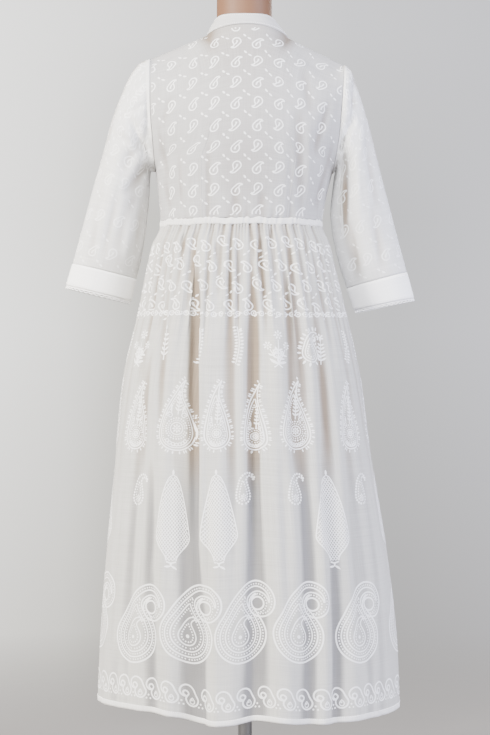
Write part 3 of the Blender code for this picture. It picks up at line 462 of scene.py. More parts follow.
def bodice_face(side, across, up, inside=0.0):
    """Outer face of the bodice, or a like face that lies inside it. side is -1 on the back and 1 on the
    front, across runs from -1 at the left edge to 1 at the right one, up from 0 at the waist to 1 at the
    top."""
    across, up = np.broadcast_arrays(across, up)
    right = across > 0
    share = np.clip(np.abs(across) / NECK_SHARE, 0, 1)
    neck_side = np.where(right, NECK_SIDE[1], NECK_SIDE[-1])
    tip = np.where(right, SHOULDER_TIP[1], SHOULDER_TIP[-1])
    neckline = NECK_CENTRE[side] + (neck_side - NECK_CENTRE[side]) * share**NECK_CURVE
    beyond = np.sin(np.abs(across) * math.pi / 2) - math.sin(NECK_SHARE * math.pi / 2)
    shoulder = neck_side + (tip - neck_side) * beyond / (1 - math.sin(NECK_SHARE * math.pi / 2))
    top = np.where(share < 1, neckline, shoulder) - inside
    height = BODICE_BOTTOM + up * (top - BODICE_BOTTOM)

    width, back, front, centre = section_at(BODICE_SECTIONS, height)
    width = width - inside
    depth = (back if side < 0 else front) - inside
    armpit = (ARMPIT - BODICE_BOTTOM) / (SHOULDER_TIP[-1] - BODICE_BOTTOM)
    middle, half = (1 + armpit) / 2, (1 - armpit) / 2
    arch = np.clip(1 - ((up - middle) / half) ** 2, 0, 1)
    hole = ease(0, 1, arch) + (np.sqrt(arch) - ease(0, 1, arch)) * across**4
    edge = math.pi / 2 - ARMHOLE_TURN * hole
    angle = across * edge
    leaning = np.clip((up - CLOSING) / (1 - CLOSING), 0, 1)
    wide = np.clip(np.abs(across) / (NECK_SPREAD * NECK_SHARE), 0, 1)
    at_edge = ease(NECK_START, 1, up)
    neck = NECK_DEPTH[side] ** 2 * ((1 - share**2) * at_edge + (1 - wide**2) ** 2 * (1 - at_edge))
    depth = depth * np.sqrt(np.clip(1 - leaning**2 * (1 - neck), 0, 1))
    bulge = (roundness(angle) - roundness(edge)) / (1 - roundness(edge))
    hole_depth = (ARMHOLE_DEPTH - inside) * hole
    reach = hole_depth + (depth - hole_depth) * bulge
    x = centre + width * np.sin(angle) / np.sin(edge)
    if side < 0:
        for dart in DARTS:
            crease = np.exp(-(((x - dart) / DART_WIDTH) ** 2))
            reach = reach - DART_DEPTH * crease * (1 - ease(DART_TOP * 0.5, DART_TOP, up))
    gap = 0.0 if np.any(inside) else SEAM_GAP / 2
    return np.stack([x, side * (reach + gap), height], axis=-1)


def armhole_heights(count):
    """Shares of the bodice's height from the armpit to the top, close together at both ends."""
    armpit = (ARMPIT - BODICE_BOTTOM) / (SHOULDER_TIP[-1] - BODICE_BOTTOM)
    turn = np.linspace(0, math.pi, count)
    return (1 + armpit) / 2 - (1 - armpit) / 2 * np.cos(turn)


def fold_reach(folds, share, drop, width):
    """How far the large folds move the skirt in or out at each place. share is the place across the panel,
    as a share of its half width."""
    hem_width = SKIRT_SECTIONS[-1].half_width
    waist_width = SKIRT_SECTIONS[0].half_width
    reach = np.zeros_like(width)
    for fold in folds:
        way = ease(0, 1, drop) * 0.5 + drop * 0.5
        place = (fold.waist / waist_width) * (1 - way) + (fold.hem / hem_width) * way
        scale = 1 - TOP_FOLD * (1 - width / hem_width)
        away = (share - place) * hem_width
        half = np.where(away < 0, fold.left, fold.right) * scale
        begun = ease(fold.start, fold.start + FOLD_RISE, drop)
        shown = begun * (1 - ease(fold.end - FOLD_FADE, fold.end, drop))
        deep = fold.depth * (TOP_FOLD + (1 - TOP_FOLD) * drop)
        reach = reach + deep * shown * np.exp(-((away / half) ** 2))
    return reach


def gather_reach(across, drop, seed):
    """Small gathers under the waist seam. Every few of them runs further down than the others."""
    count = (across + 1) / 2 * GATHERS
    number = np.round(count)
    uneven = 0.75 + 0.25 * np.sin(number * 2.4 + seed)
    length = GATHER_LENGTH + GATHER_LONGER * np.sin(number * 1.7 + seed * 2) ** 2
    fade = 1 - ease(0.3, 1.0, drop / length)
    grow = 0.55 + 0.45 * ease(0, 0.05, drop) + 0.9 * ease(0.03, 0.15, drop)
    edge = 1 - across**12
    return -GATHER_DEPTH * uneven * grow * fade * edge * np.cos(2 * math.pi * count)


def skirt_face(side, across, drop):
    """Outer face of a skirt panel. drop runs from 0 at the waist seam to 1 at the hem."""
    across, drop = np.broadcast_arrays(across, drop)
    hem = BACK_HEM if side < 0 else FRONT_HEM
    hem_height = smooth_curve([p.across for p in hem], [p.height for p in hem], across)
    height = SKIRT_TOP - drop * (SKIRT_TOP - hem_height)
    width, back, front, centre = section_at(SKIRT_SECTIONS, height)
    depth = back if side < 0 else front
    angle = across * math.pi / 2
    share = np.sin(angle)
    folds = BACK_FOLDS if side < 0 else FRONT_FOLDS
    reach = fold_reach(folds, share, drop, width)
    reach = reach + gather_reach(across, drop, 1.0 if side < 0 else 4.0)
    low = ease(SIDE_FOLD_START, SIDE_FOLD_FULL, drop)
    reach = reach * (1 - across**10)
    reach = reach - SIDE_FOLD * low * np.exp(-(((1 - np.abs(across)) / SIDE_FOLD_SHARE) ** 2))
    beside = (1 - 2.3 * SIDE_FOLD_SHARE - np.abs(across)) / (1.2 * SIDE_FOLD_SHARE)
    reach = reach + SIDE_RIDGE * low * np.exp(-(beside**2))
    normal = np.stack([share / width, side * np.cos(angle) / depth], axis=-1)
    normal = normal / np.linalg.norm(normal, axis=-1, keepdims=True)
    x = centre + width * share + reach * normal[..., 0]
    y = side * (depth * roundness(angle) + SEAM_GAP / 2) + reach * normal[..., 1]
    return np.stack([x, y, height], axis=-1)


def sleeve_face(side, angle, station):
    """Outer face of a sleeve. angle is 0 on top and 90 degrees at the back, station is a row of its table."""
    angle, station = np.broadcast_arrays(angle, station)
    table = LEFT_SLEEVE if side < 0 else RIGHT_SLEEVE
    rows = np.arange(len(table))
    columns = [smooth_curve(rows, column, station) for column in zip(*table)]
    outer_x, outer_z, inner_x, inner_z, depth, forward = columns
    high, back = np.cos(angle), np.sin(angle)
    reach = np.zeros_like(depth)
    for crease in LEFT_CREASES if side < 0 else RIGHT_CREASES:
        way = (station - crease.start) / (crease.end - crease.start)
        place = np.radians(crease.angle + crease.turn * way)
        away = np.degrees(np.abs(np.angle(np.exp(1j * (angle - place)))))
        shown = np.sin(np.pi * np.clip(way, 0, 1)) ** 0.8
        reach = reach + crease.depth * shown * np.exp(-((away / crease.width) ** 2))
    swell = 1 + reach / (0.5 * np.hypot(outer_x - inner_x, outer_z - inner_z))
    out = (outer_x + inner_x) / 2 + (outer_x - inner_x) / 2 * high * swell
    z = (outer_z + inner_z) / 2 + (outer_z - inner_z) / 2 * high * swell
    y = forward - depth * back * swell

    armpit = (ARMPIT - BODICE_BOTTOM) / (SHOULDER_TIP[-1] - BODICE_BOTTOM)
    up = (1 + armpit) / 2 + (1 - armpit) / 2 * high
    ahead = bodice_face(1, float(side), up)
    behind = bodice_face(-1, float(side), up)
    hole = np.where((back > 0)[..., None], behind, ahead)
    near = 1 - ease(0, ARMHOLE_ROWS, station)
    first = [column[0] for column in zip(*table)]
    flat_x = (first[0] + first[2]) / 2 + (first[0] - first[2]) / 2 * high
    flat_z = (first[1] + first[3]) / 2 + (first[1] - first[3]) / 2 * high
    out = out + near * (side * hole[..., 0] + SEAM_GAP + JOIN - flat_x)
    z = z + near * (hole[..., 2] - flat_z)
    y = y + near * (hole[..., 1] + ARMHOLE_DEPTH * back)
    return np.stack([side * out, y, z], axis=-1)


def neckline(turn):
    """The bodice's neck edge. turn is 0 at the centre back and half a circle at the centre front."""
    share = NECK_SHARE * np.sin(turn)
    behind = bodice_face(-1, share, 1.0)
    ahead = bodice_face(1, share, 1.0)
    return np.where((np.cos(turn) > 0)[..., None], behind, ahead)


def collar_face(turn, up):
    """Outer face of the band collar. up runs from 0 at the neckline to 1 at its top edge."""
    turn, up = np.broadcast_arrays(turn, up)
    base = neckline(turn)
    base[..., 2] += SEAM_GAP + JOIN
    back = (1 + np.cos(turn)) / 2
    edge = COLLAR_TOP[-1] * back + COLLAR_TOP[1] * (1 - back)
    edge = edge + (COLLAR_SIDE - (COLLAR_TOP[-1] + COLLAR_TOP[1]) / 2) * np.sin(turn) ** 2
    x = COLLAR_WIDTH * np.sin(turn) + NECK_MIDDLE
    y = -COLLAR_DEPTH * np.cos(turn)
    top = np.stack([x, y, edge], axis=-1)
    out = np.stack([np.sin(turn), -np.cos(turn), 0 * turn], axis=-1)
    bow = COLLAR_BOW * np.sin(math.pi * up)[..., None]
    return base + (top - base) * up[..., None] + out * bow

# %% [markdown]
# ## From two parameters to a mesh
#
# A piece of cloth is a grid of points: rows run down the cloth and columns run across it. One helper turns
# such a grid into faces, checks that they point away from the body, gives it a UV map in metres for the
# weave, and lets Solidify give it the thickness of the cloth.


# %% Mesh helpers
def unit(vectors):
    """Each vector divided by its own length."""
    return vectors / np.maximum(np.linalg.norm(vectors, axis=-1, keepdims=True), 1e-12)


def grid_quads(rows, columns, closed=False):
    """The four corners of each cell of a grid. A closed grid joins its last column to its first."""
    index = np.arange(rows * columns).reshape(rows, columns)
    if closed:
        index = np.concatenate([index, index[:, :1]], axis=1)
    corners = [index[:-1, :-1], index[:-1, 1:], index[1:, 1:], index[1:, :-1]]
    return np.stack(corners, axis=-1).reshape(-1, 4)


def new_piece(name, points, faces, material, uv=None):
    """An object from arrays: points (n, 3), faces (m, corners) and, for each corner of each face, its place
    on the cloth."""
    faces = np.asarray(faces, dtype=np.int32)
    mesh = bpy.data.meshes.new(name)
    mesh.vertices.add(len(points))
    mesh.vertices.foreach_set("co", np.asarray(points, dtype=np.float32).ravel())
    mesh.loops.add(faces.size)
    mesh.loops.foreach_set("vertex_index", faces.ravel())
    mesh.polygons.add(len(faces))
    mesh.polygons.foreach_set("loop_start", np.arange(0, faces.size, faces.shape[1], dtype=np.int32))
    if uv is not None:
        layer = mesh.uv_layers.new(name="UVMap")
        layer.data.foreach_set("uv", np.asarray(uv, dtype=np.float32).ravel())
    mesh.update(calc_edges=True)
    mesh.validate()
    mesh.shade_smooth()
    mesh.materials.append(material)
    thing = bpy.data.objects.new(name, mesh)
    bpy.context.scene.collection.objects.link(thing)
    return thing


def finish(thing, slot, *nodes):
    """The piece rides with the gown and stands for these solids, which are hidden. slot is not used."""
    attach(thing, "root")
    if nodes:
        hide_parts(*nodes)
    return thing


def cloth(name, points, uv, material, closed=False, thick=0.0005):
    """A grid of cloth with its faces turned away from the body and a thickness that goes inwards."""
    rows, columns = points.shape[:2]
    quads = grid_quads(rows, columns, closed)
    place = uv.reshape(-1, 2)[grid_quads(rows, columns + 1 if closed else columns)]
    flat = points.reshape(-1, 3)
    corner = flat[quads]
    normal = np.cross(corner[:, 2] - corner[:, 0], corner[:, 3] - corner[:, 1])
    if closed:
        middle = points.mean(axis=1)[quads[:, 0] // columns]
    else:
        middle = np.array([0, 0, 1]) * flat[quads[:, 0]]
    if (normal * (corner.mean(axis=1) - middle)).sum() < 0:
        quads, place = quads[:, ::-1], place[:, ::-1]
    thing = new_piece(name, flat, quads, material, place)
    wall = thing.modifiers.new("thickness", "SOLIDIFY")
    wall.thickness = thick
    wall.offset = -1
    print(f"{name}: {len(quads)} cells")
    return thing


def hollows(points, span, deep, closed=False):
    """How far each point lies in a fold: 0 on the ridges and 1 where it is as deep as deep, in metres. It is
    measured against the running mean of the distances from the middle of the row."""
    middle = points.mean(axis=1, keepdims=True) if closed else np.zeros((1, 1, 3))
    far = np.hypot(points[..., 0] - middle[..., 0], points[..., 1] - middle[..., 1])
    spread = np.pad(far, ((0, 0), (span, span)), mode="wrap" if closed else "reflect")
    total = np.cumsum(np.pad(spread, ((0, 0), (1, 0))), axis=1)
    mean = (total[:, 2 * span + 1 :] - total[:, : -2 * span - 1]) / (2 * span + 1)
    return np.clip((mean - far) / deep, 0, 1)


def mark_fold_shade_depth(thing, depth):
    """Keeps the fold depth in the mesh, where the cotton's shader reads it to paint shade into the folds."""
    layer = thing.data.attributes.new("hollow", "FLOAT", "POINT")
    layer.data.foreach_set("value", np.asarray(depth, dtype=np.float32).ravel())


def sheet_area(points, closed=False):
    """Area of a grid of points in square metres."""
    if closed:
        points = np.concatenate([points, points[:, :1]], axis=1)
    one = points[1:, 1:] - points[:-1, :-1]
    two = points[1:, :-1] - points[:-1, 1:]
    return float(np.linalg.norm(np.cross(one, two), axis=-1).sum() / 2)


# %% [markdown]
# ## Cotton voile
#
# Voile is woven from fine, slightly uneven yarn, so the cloth is matt and a little see-through and shows
# faint slubs both ways. The real threads are 0.25 mm apart, too fine for a picture, so the slubs are drawn
# 1.3 mm apart. The see-through look is a plain alpha: light and the tan form show faintly through one
# layer, and a seam, where there are several layers, is nearly opaque.


# %% Cotton materials
FOLD_SHADE_TAN_HEIGHTS = (0.60, 0.68)  # heights between which the painted shade in the folds turns from cool grey to tan, where the form stands behind the cloth


def voile(name, colour, shade, alpha, slub=0.0013, relief=0.25):
    """Woven cotton: two stretched noises, along the warp and the weft, colour it and raise it a little."""
    material = bpy.data.materials.new(name)
    material.use_nodes = True
    tree = material.node_tree
    shader = tree.nodes["Principled BSDF"]
    place = add(tree, "ShaderNodeUVMap", uv_map="UVMap").outputs["UV"]
    yarns = []
    for scale in ((1 / slub, 9, 1), (9, 1 / slub, 1)):
        stretched = add(tree, "ShaderNodeMapping", {"Vector": place, "Scale": scale}).outputs["Vector"]
        noise = add(tree, "ShaderNodeTexNoise", {"Vector": stretched, "Scale": 1.0, "Detail": 2.0})
        yarns.append(noise.outputs["Fac"])
    weave = add(tree, "ShaderNodeMath", {0: yarns[0], 1: yarns[1]}, operation="ADD")
    half = add(tree, "ShaderNodeMath", {0: weave.outputs["Value"], 1: 0.5}, operation="MULTIPLY")
    height = half.outputs["Value"]
    woven = ramp(tree, height, (0.35, shade), (0.62, colour))
    # Painted shade in the folds: the deeper a point lies in a fold, the darker its colour, cool grey low down
    # and tan where the form stands behind the cloth
    room = add(tree, "ShaderNodeTexCoord").outputs["Object"]
    up = add(tree, "ShaderNodeSeparateXYZ", {0: room}).outputs["Z"]
    span = {"Value": up, "From Min": FOLD_SHADE_TAN_HEIGHTS[0], "From Max": FOLD_SHADE_TAN_HEIGHTS[1]}
    above = add(tree, "ShaderNodeMapRange", span).outputs["Result"]
    fold_shade_tint = ramp(tree, above, (0.0, "#B2B2B6"), (1.0, "#B8A796"))
    hollow = add(tree, "ShaderNodeAttribute", attribute_name="hollow").outputs["Fac"]
    shades = {"Fac": hollow, "Color1": woven, "Color2": fold_shade_tint}
    folded = add(tree, "ShaderNodeMixRGB", shades, blend_type="MULTIPLY")
    tree.links.new(folded.outputs["Color"], shader.inputs["Base Color"])
    bump = add(tree, "ShaderNodeBump", {"Height": height, "Strength": relief, "Distance": 0.0004})
    tree.links.new(bump.outputs["Normal"], shader.inputs["Normal"])
    shader.inputs["Roughness"].default_value = 0.9
    shader.inputs["Specular IOR Level"].default_value = 0.25
    shader.inputs["Sheen Weight"].default_value = 0.15
    shader.inputs["Sheen Roughness"].default_value = 0.5
    shader.inputs["Alpha"].default_value = alpha
    return material


def plain(name, colour, roughness, metallic=0.0, specular=0.5):
    """A finish with one colour that a real surface of this kind has, with a faint unevenness in its gloss."""
    material = bpy.data.materials.new(name)
    material.use_nodes = True
    tree = material.node_tree
    shader = tree.nodes["Principled BSDF"]
    place = add(tree, "ShaderNodeTexCoord").outputs["Object"]
    noise = add(tree, "ShaderNodeTexNoise", {"Vector": place, "Scale": 55.0, "Detail": 3.0}).outputs["Fac"]
    uneven = {"Value": noise, "To Min": roughness - 0.06, "To Max": roughness + 0.06}
    tree.links.new(add(tree, "ShaderNodeMapRange", uneven).outputs["Result"], shader.inputs["Roughness"])
    shader.inputs["Base Color"].default_value = linear(colour)
    shader.inputs["Metallic"].default_value = metallic
    shader.inputs["Specular IOR Level"].default_value = specular
    return material


# One layer that hangs free: light comes through it, so it is grey-white and its folds are soft
skirt_cotton = voile("cotton voile, one layer", "#D3D2CE", "#BCBBB7", 0.66)
# The same cloth close over the form: cooler and a little denser
bodice_cotton = voile("cotton voile over the form", "#C4C3C3", "#B0AFAF", 0.72)
# Sleeves are seen through both their walls at once, so they are whiter
sleeve_cotton = voile("cotton voile of the sleeves", "#DFDFDE", "#D0D0CF", 0.90)
# Folded edges and bands: two layers or more, nearly opaque, and whiter the more there are, save the collar,
# which is painted darker
hem_cotton = voile("cotton voile, folded at an edge", "#EAE9E7", "#DAD9D6", 0.90)
# The collar band: two layers, but a darker grey than one layer, which is painted shade
shaded_collar_cotton = voile("cotton voile, two layers of a band", "#C3C2C2", "#B3B2B2", 0.97)
band_cotton = voile("cotton voile, several layers", "#FCFCFB", "#F4F4F3", 1.0)
# Paste that has dried on the cloth: matt white, thin enough for the cloth to show through a little
print_paste = plain("opaque white print paste", "#FFFFFF", 0.75, specular=0.2)
print_paste.node_tree.nodes["Principled BSDF"].inputs["Alpha"].default_value = 0.74
# Sewing thread: bright white and matt
thread = plain("white cotton thread", "#FFFFFF", 0.8, specular=0.2)
# River shell, cut and polished: cream with a soft gloss
shell = plain("river shell buttons", "#F1EFE9", 0.25)
# A smooth cover drawn tight over the moulded form: plain tan with a dull shine
form_cover = plain("smooth tan form cover", "#694A35", 0.55, specular=0.3)
# Steel tube and plate with a satin finish: grey, with blurred reflections
steel = plain("satin steel", "#8F8F90", 0.38, metallic=1.0)

# %% [markdown]
# ## Creases
#
# The large folds come from the tables. The smaller drag lines, where the cloth pulls towards an armhole or
# hangs from a gather, are soft troughs and ridges listed one by one: each runs between two points of the side
# that is looked at, fades in and out along its length, and moves the cloth in or out along its own normal.


# %% Creases and the dressed surfaces
Trough = namedtuple("Trough", "x0 z0 x1 z1 depth width")
BACK_BODICE_TROUGHS = [
    Trough(0.094, 1.275, 0.098, 1.080, -0.0024, 0.0110),
    Trough(0.112, 1.250, 0.112, 1.085, 0.0022, 0.0070),
    Trough(0.168, 1.235, 0.124, 1.090, -0.0046, 0.0090),
    Trough(0.150, 1.290, 0.122, 1.190, -0.0030, 0.0070),
    Trough(0.158, 1.180, 0.138, 1.085, 0.0020, 0.0070),
    Trough(0.104, 1.345, 0.116, 1.260, -0.0018, 0.0090),
    Trough(-0.160, 1.245, -0.130, 1.130, -0.0036, 0.0085),
    Trough(-0.152, 1.170, -0.128, 1.085, -0.0032, 0.0080),
    Trough(-0.118, 1.200, -0.112, 1.085, -0.0022, 0.0080),
    Trough(-0.130, 1.300, -0.150, 1.230, -0.0016, 0.0090),
    Trough(-0.085, 1.385, -0.150, 1.330, -0.0014, 0.0080),
    Trough(0.090, 1.380, 0.155, 1.325, -0.0016, 0.0080),
    Trough(-0.020, 1.135, -0.014, 1.082, -0.0014, 0.0060),
    Trough(0.030, 1.125, 0.026, 1.082, -0.0012, 0.0060),
]
FRONT_BODICE_TROUGHS = [
    Trough(0.160, 1.240, 0.110, 1.170, -0.0034, 0.0090),
    Trough(-0.160, 1.245, -0.112, 1.175, -0.0034, 0.0090),
    Trough(0.148, 1.300, 0.120, 1.230, -0.0024, 0.0080),
    Trough(-0.150, 1.305, -0.118, 1.235, -0.0024, 0.0080),
    Trough(0.080, 1.180, 0.070, 1.085, -0.0024, 0.0090),
    Trough(-0.078, 1.175, -0.070, 1.085, -0.0024, 0.0090),
    Trough(0.045, 1.150, 0.040, 1.085, -0.0016, 0.0070),
    Trough(-0.050, 1.155, -0.042, 1.085, -0.0016, 0.0070),
]
LEFT_SLEEVE_TROUGHS = [
    Trough(-0.166, 1.335, -0.176, 1.190, -0.0040, 0.0060),
    Trough(-0.208, 1.266, -0.168, 1.184, -0.0075, 0.0065),
    Trough(-0.222, 1.255, -0.186, 1.180, 0.0030, 0.0070),
    Trough(-0.170, 1.286, -0.226, 1.262, -0.0030, 0.0060),
    Trough(-0.176, 1.205, -0.236, 1.232, -0.0030, 0.0080),
    Trough(-0.175, 1.180, -0.215, 1.120, -0.0045, 0.0080),
    Trough(-0.180, 1.130, -0.196, 1.010, -0.0030, 0.0080),
    Trough(-0.222, 1.140, -0.256, 1.010, -0.0034, 0.0080),
    Trough(-0.205, 1.110, -0.215, 1.000, 0.0020, 0.0080),
    Trough(-0.262, 1.085, -0.284, 0.985, -0.0020, 0.0080),
    Trough(-0.236, 1.290, -0.252, 1.200, -0.0020, 0.0070),
]
RIGHT_SLEEVE_TROUGHS = [
    Trough(0.199, 1.350, 0.191, 1.230, -0.0055, 0.0050),
    Trough(0.184, 1.350, 0.176, 1.250, 0.0016, 0.0060),
    Trough(0.194, 1.268, 0.166, 1.196, -0.0075, 0.0060),
    Trough(0.207, 1.290, 0.208, 1.190, 0.0024, 0.0060),
    Trough(0.172, 1.195, 0.178, 1.050, -0.0070, 0.0080),
    Trough(0.196, 1.210, 0.206, 1.060, 0.0030, 0.0070),
    Trough(0.186, 1.080, 0.210, 0.955, -0.0050, 0.0080),
    Trough(0.214, 1.235, 0.236, 1.100, -0.0034, 0.0080),
    Trough(0.226, 1.110, 0.252, 0.970, -0.0028, 0.0080),
    Trough(0.226, 1.300, 0.242, 1.200, -0.0020, 0.0070),
    Trough(0.250, 1.130, 0.272, 1.010, 0.0016, 0.0080),
]
# Narrow creases that run down from the gathers of the skirt
BACK_SKIRT_TROUGHS = [
    Trough(-0.110, 1.062, -0.108, 1.020, -0.0030, 0.0030),
    Trough(-0.088, 1.066, -0.084, 0.520, -0.0095, 0.0085),
    Trough(-0.075, 1.055, -0.073, 0.400, 0.0045, 0.0060),
    Trough(-0.052, 1.060, -0.050, 1.005, -0.0034, 0.0030),
    Trough(-0.013, 1.064, -0.011, 0.860, -0.0050, 0.0030),
    Trough(-0.020, 1.064, -0.019, 0.900, 0.0018, 0.0035),
    Trough(0.012, 1.064, 0.018, 1.000, -0.0036, 0.0032),
    Trough(0.026, 1.045, 0.024, 0.960, -0.0044, 0.0030),
    Trough(0.014, 0.960, 0.016, 0.420, -0.0040, 0.0110),
    Trough(0.027, 0.950, 0.030, 0.420, 0.0026, 0.0050),
    Trough(0.045, 1.062, 0.043, 1.020, -0.0030, 0.0028),
    Trough(0.074, 1.062, 0.088, 0.600, -0.0056, 0.0100),
    Trough(0.104, 1.060, 0.108, 1.010, -0.0030, 0.0030),
    Trough(0.118, 0.990, 0.140, 0.500, -0.0058, 0.0110),
    Trough(-0.140, 0.960, -0.158, 0.480, -0.0060, 0.0100),
    Trough(-0.055, 0.860, -0.066, 0.300, -0.0044, 0.0120),
    Trough(0.062, 0.760, 0.076, 0.290, -0.0048, 0.0120),
    Trough(0.165, 0.800, 0.208, 0.290, -0.0055, 0.0120),
    Trough(-0.183, 0.760, -0.214, 0.280, -0.0055, 0.0110),
]
FRONT_SKIRT_TROUGHS = [
    Trough(-0.095, 1.062, -0.094, 0.980, -0.0036, 0.0032),
    Trough(-0.058, 1.062, -0.062, 0.700, -0.0046, 0.0044),
    Trough(-0.022, 1.062, -0.020, 0.900, -0.0044, 0.0032),
    Trough(0.014, 1.062, 0.016, 0.980, -0.0036, 0.0030),
    Trough(0.040, 1.060, 0.052, 0.520, -0.0050, 0.0060),
    Trough(0.082, 1.062, 0.088, 0.960, -0.0036, 0.0032),
    Trough(0.110, 1.000, 0.140, 0.480, -0.0034, 0.0080),
    Trough(-0.120, 0.960, -0.158, 0.440, -0.0034, 0.0080),
    Trough(0.000, 0.760, 0.006, 0.340, -0.0030, 0.0070),
]


def troughs(table, x, z):
    """Sum of the troughs: each is a bell curve across its line and a half sine along it, over its length."""
    moved = np.zeros_like(x)
    for row in table:
        way = np.array([row.x1 - row.x0, row.z1 - row.z0])
        length = np.hypot(*way)
        way = way / length
        along = ((x - row.x0) * way[0] + (z - row.z0) * way[1]) / length
        away = (x - row.x0) * way[1] - (z - row.z0) * way[0]
        shown = np.sin(np.pi * np.clip(along, 0, 1)) ** 0.7
        moved = moved + row.depth * shown * np.exp(-((away / row.width) ** 2))
    return moved


def ripples(across, drop, seed):
    """Small uneven ripples that hang from the gathers and from the folds, under 1 mm deep."""
    first = np.sin(across * 61 + seed + 1.7 * np.sin(drop * 5 + across * 3))
    second = np.sin(across * 97 - seed * 2 + 2.3 * np.sin(drop * 4 - across * 5))
    near_top = 0.00055 * np.exp(-drop / 0.25)
    puckers = 0.0019 * np.sin(across * 190 + seed + 3.4 * np.sin(across * 31)) * np.exp(-drop / 0.038)
    return (0.00055 + near_top) * first + 0.00035 * second + puckers


def extra(kind, side, point, across, down):
    """How far the fine creases move the cloth of one piece."""
    x, z = point[..., 0], point[..., 2]
    if kind == "bodice":
        table = BACK_BODICE_TROUGHS if side < 0 else FRONT_BODICE_TROUGHS
        fade = (1 - np.abs(across) ** 14) * (1 - ease(0.97, 1.0, down))
        pull = 0.0007 * np.sin(across * 75 + 2 * np.sin(across * 23)) * np.exp(-down / 0.05)
        return troughs(table, x, z) * fade + pull
    if kind == "skirt":
        table = BACK_SKIRT_TROUGHS if side < 0 else FRONT_SKIRT_TROUGHS
        return (troughs(table, x, z) + ripples(across, down, 1.3 if side < 0 else 3.1)) * (1 - across**20)
    table = LEFT_SLEEVE_TROUGHS if side < 0 else RIGHT_SLEEVE_TROUGHS
    behind = ease(0.0, 0.45, np.sin(across))
    before = ease(0.0, 0.45, -np.sin(across))
    fade = ease(0.0, 0.5, down) * (1 - ease(7.2, CUFF_STATION, down))
    return (troughs(table, x, z) * behind + 0.8 * troughs(table, x - side * 0.008, z + 0.012) * before) * fade


def bare(kind, side, across, down):
    """The surface without its fine creases. across and down are the two parameters of that piece."""
    if kind == "bodice":
        return bodice_face(side, across, down)
    if kind == "skirt":
        return skirt_face(side, across, down)
    return sleeve_face(side, across, down)


# Which sign makes each surface's own normal point away from the body
TURNED = {
    ("bodice", -1): 1,
    ("bodice", 1): -1,
    ("skirt", -1): -1,
    ("skirt", 1): 1,
    ("sleeve", -1): -1,
    ("sleeve", 1): 1,
}


def dressed(kind, side, across, down, lift=0.0):
    """Points of the finished cloth, with its creases, moved out by lift. The normal comes from two small
    steps."""
    across, down = np.broadcast_arrays(np.asarray(across, float), np.asarray(down, float))
    step = 0.012 if kind == "sleeve" else 0.004
    fall = 0.02 if kind == "sleeve" else 0.004

    def moved(a, b):
        point = bare(kind, side, a, b)
        one = bare(kind, side, a + step, b) - bare(kind, side, a - step, b)
        two = bare(kind, side, a, b + fall) - bare(kind, side, a, b - fall)
        normal = unit(np.cross(one, two)) * TURNED[kind, side]
        return point + normal * extra(kind, side, point, a, b)[..., None], normal

    point, normal = moved(across, down)
    return point + normal * np.asarray(lift)[..., None]


# %% Check which way each surface's normal points
for (kind, side) in TURNED:
    a, b = {"bodice": (0.3, 0.5), "skirt": (0.3, 0.5), "sleeve": (0.5 * math.pi, 4.0)}[kind]
    out = dressed(kind, side, a, b, 0.01) - dressed(kind, side, a, b)
    print(kind, side, "moves out by", np.round(out * 1000, 1))

# %% [markdown]
# ## The skirt
#
# Each skirt panel is one rectangle of voile, wider than the waist by far, gathered on to the band and
# hanging under its own weight. It is drawn as a grid of 281 by 131 points, which is enough for the gathers,
# the deep folds and the small ripples between them.


# %% Skirt panels
def metres(across, down, wide, long):
    """The UV map of a panel: its place in metres on the flat cloth."""
    across, down = np.broadcast_arrays(across, down)
    return np.stack([across * wide / 2, -down * long], axis=-1)


SKIRT_WIDTH = 0.86  # metres of flat cloth in each skirt panel
SKIRT_LENGTH = 0.86
for side, name, node in ((-1, "skirt_back_cloth", "skirt_back"), (1, "skirt_front_cloth", "skirt_front")):
    across, down = np.meshgrid(np.linspace(-1, 1, 281), np.linspace(0, 1, 131))
    points = dressed("skirt", side, across, down)
    piece = cloth(name, points, metres(across, down, SKIRT_WIDTH, SKIRT_LENGTH), skirt_cotton)
    mark_fold_shade_depth(piece, hollows(points, 11, 0.0036) ** 0.8)
    finish(piece, "cotton", node)
    print(name, "area", round(sheet_area(points), 4))

# %% [markdown]
# ## The bodice
#
# The back is one panel with two darts, the front another that falls from the bust. Cloth that lies over the
# form shows less light through it than the free skirt, so it has its own setting of the same voile.

# %% Bodice panels
BODICE_WIDTH = 0.44  # metres of flat cloth in each bodice panel
BODICE_LENGTH = 0.34
for side, name, node in ((-1, "bodice_back_cloth", "bodice_back"), (1, "bodice_front_cloth", "bodice_front")):
    across, up = np.meshgrid(np.linspace(-1, 1, 161), np.linspace(0, 1, 121))
    points = dressed("bodice", side, across, up)
    piece = cloth(name, points, metres(across, -up, BODICE_WIDTH, BODICE_LENGTH), bodice_cotton)
    mark_fold_shade_depth(piece, hollows(points, 9, 0.0030) * (1 - np.abs(across) ** 12))
    finish(piece, "cotton", node)
    print(name, "area", round(sheet_area(points), 4))

# %% [markdown]
# ## The sleeves
#
# A sleeve is a tube set into the armhole. It is a grid that closes on itself along the seam at its
# underside, and its last rows are the cuff: the sleeve's own deep hem, two layers thick and so more opaque.

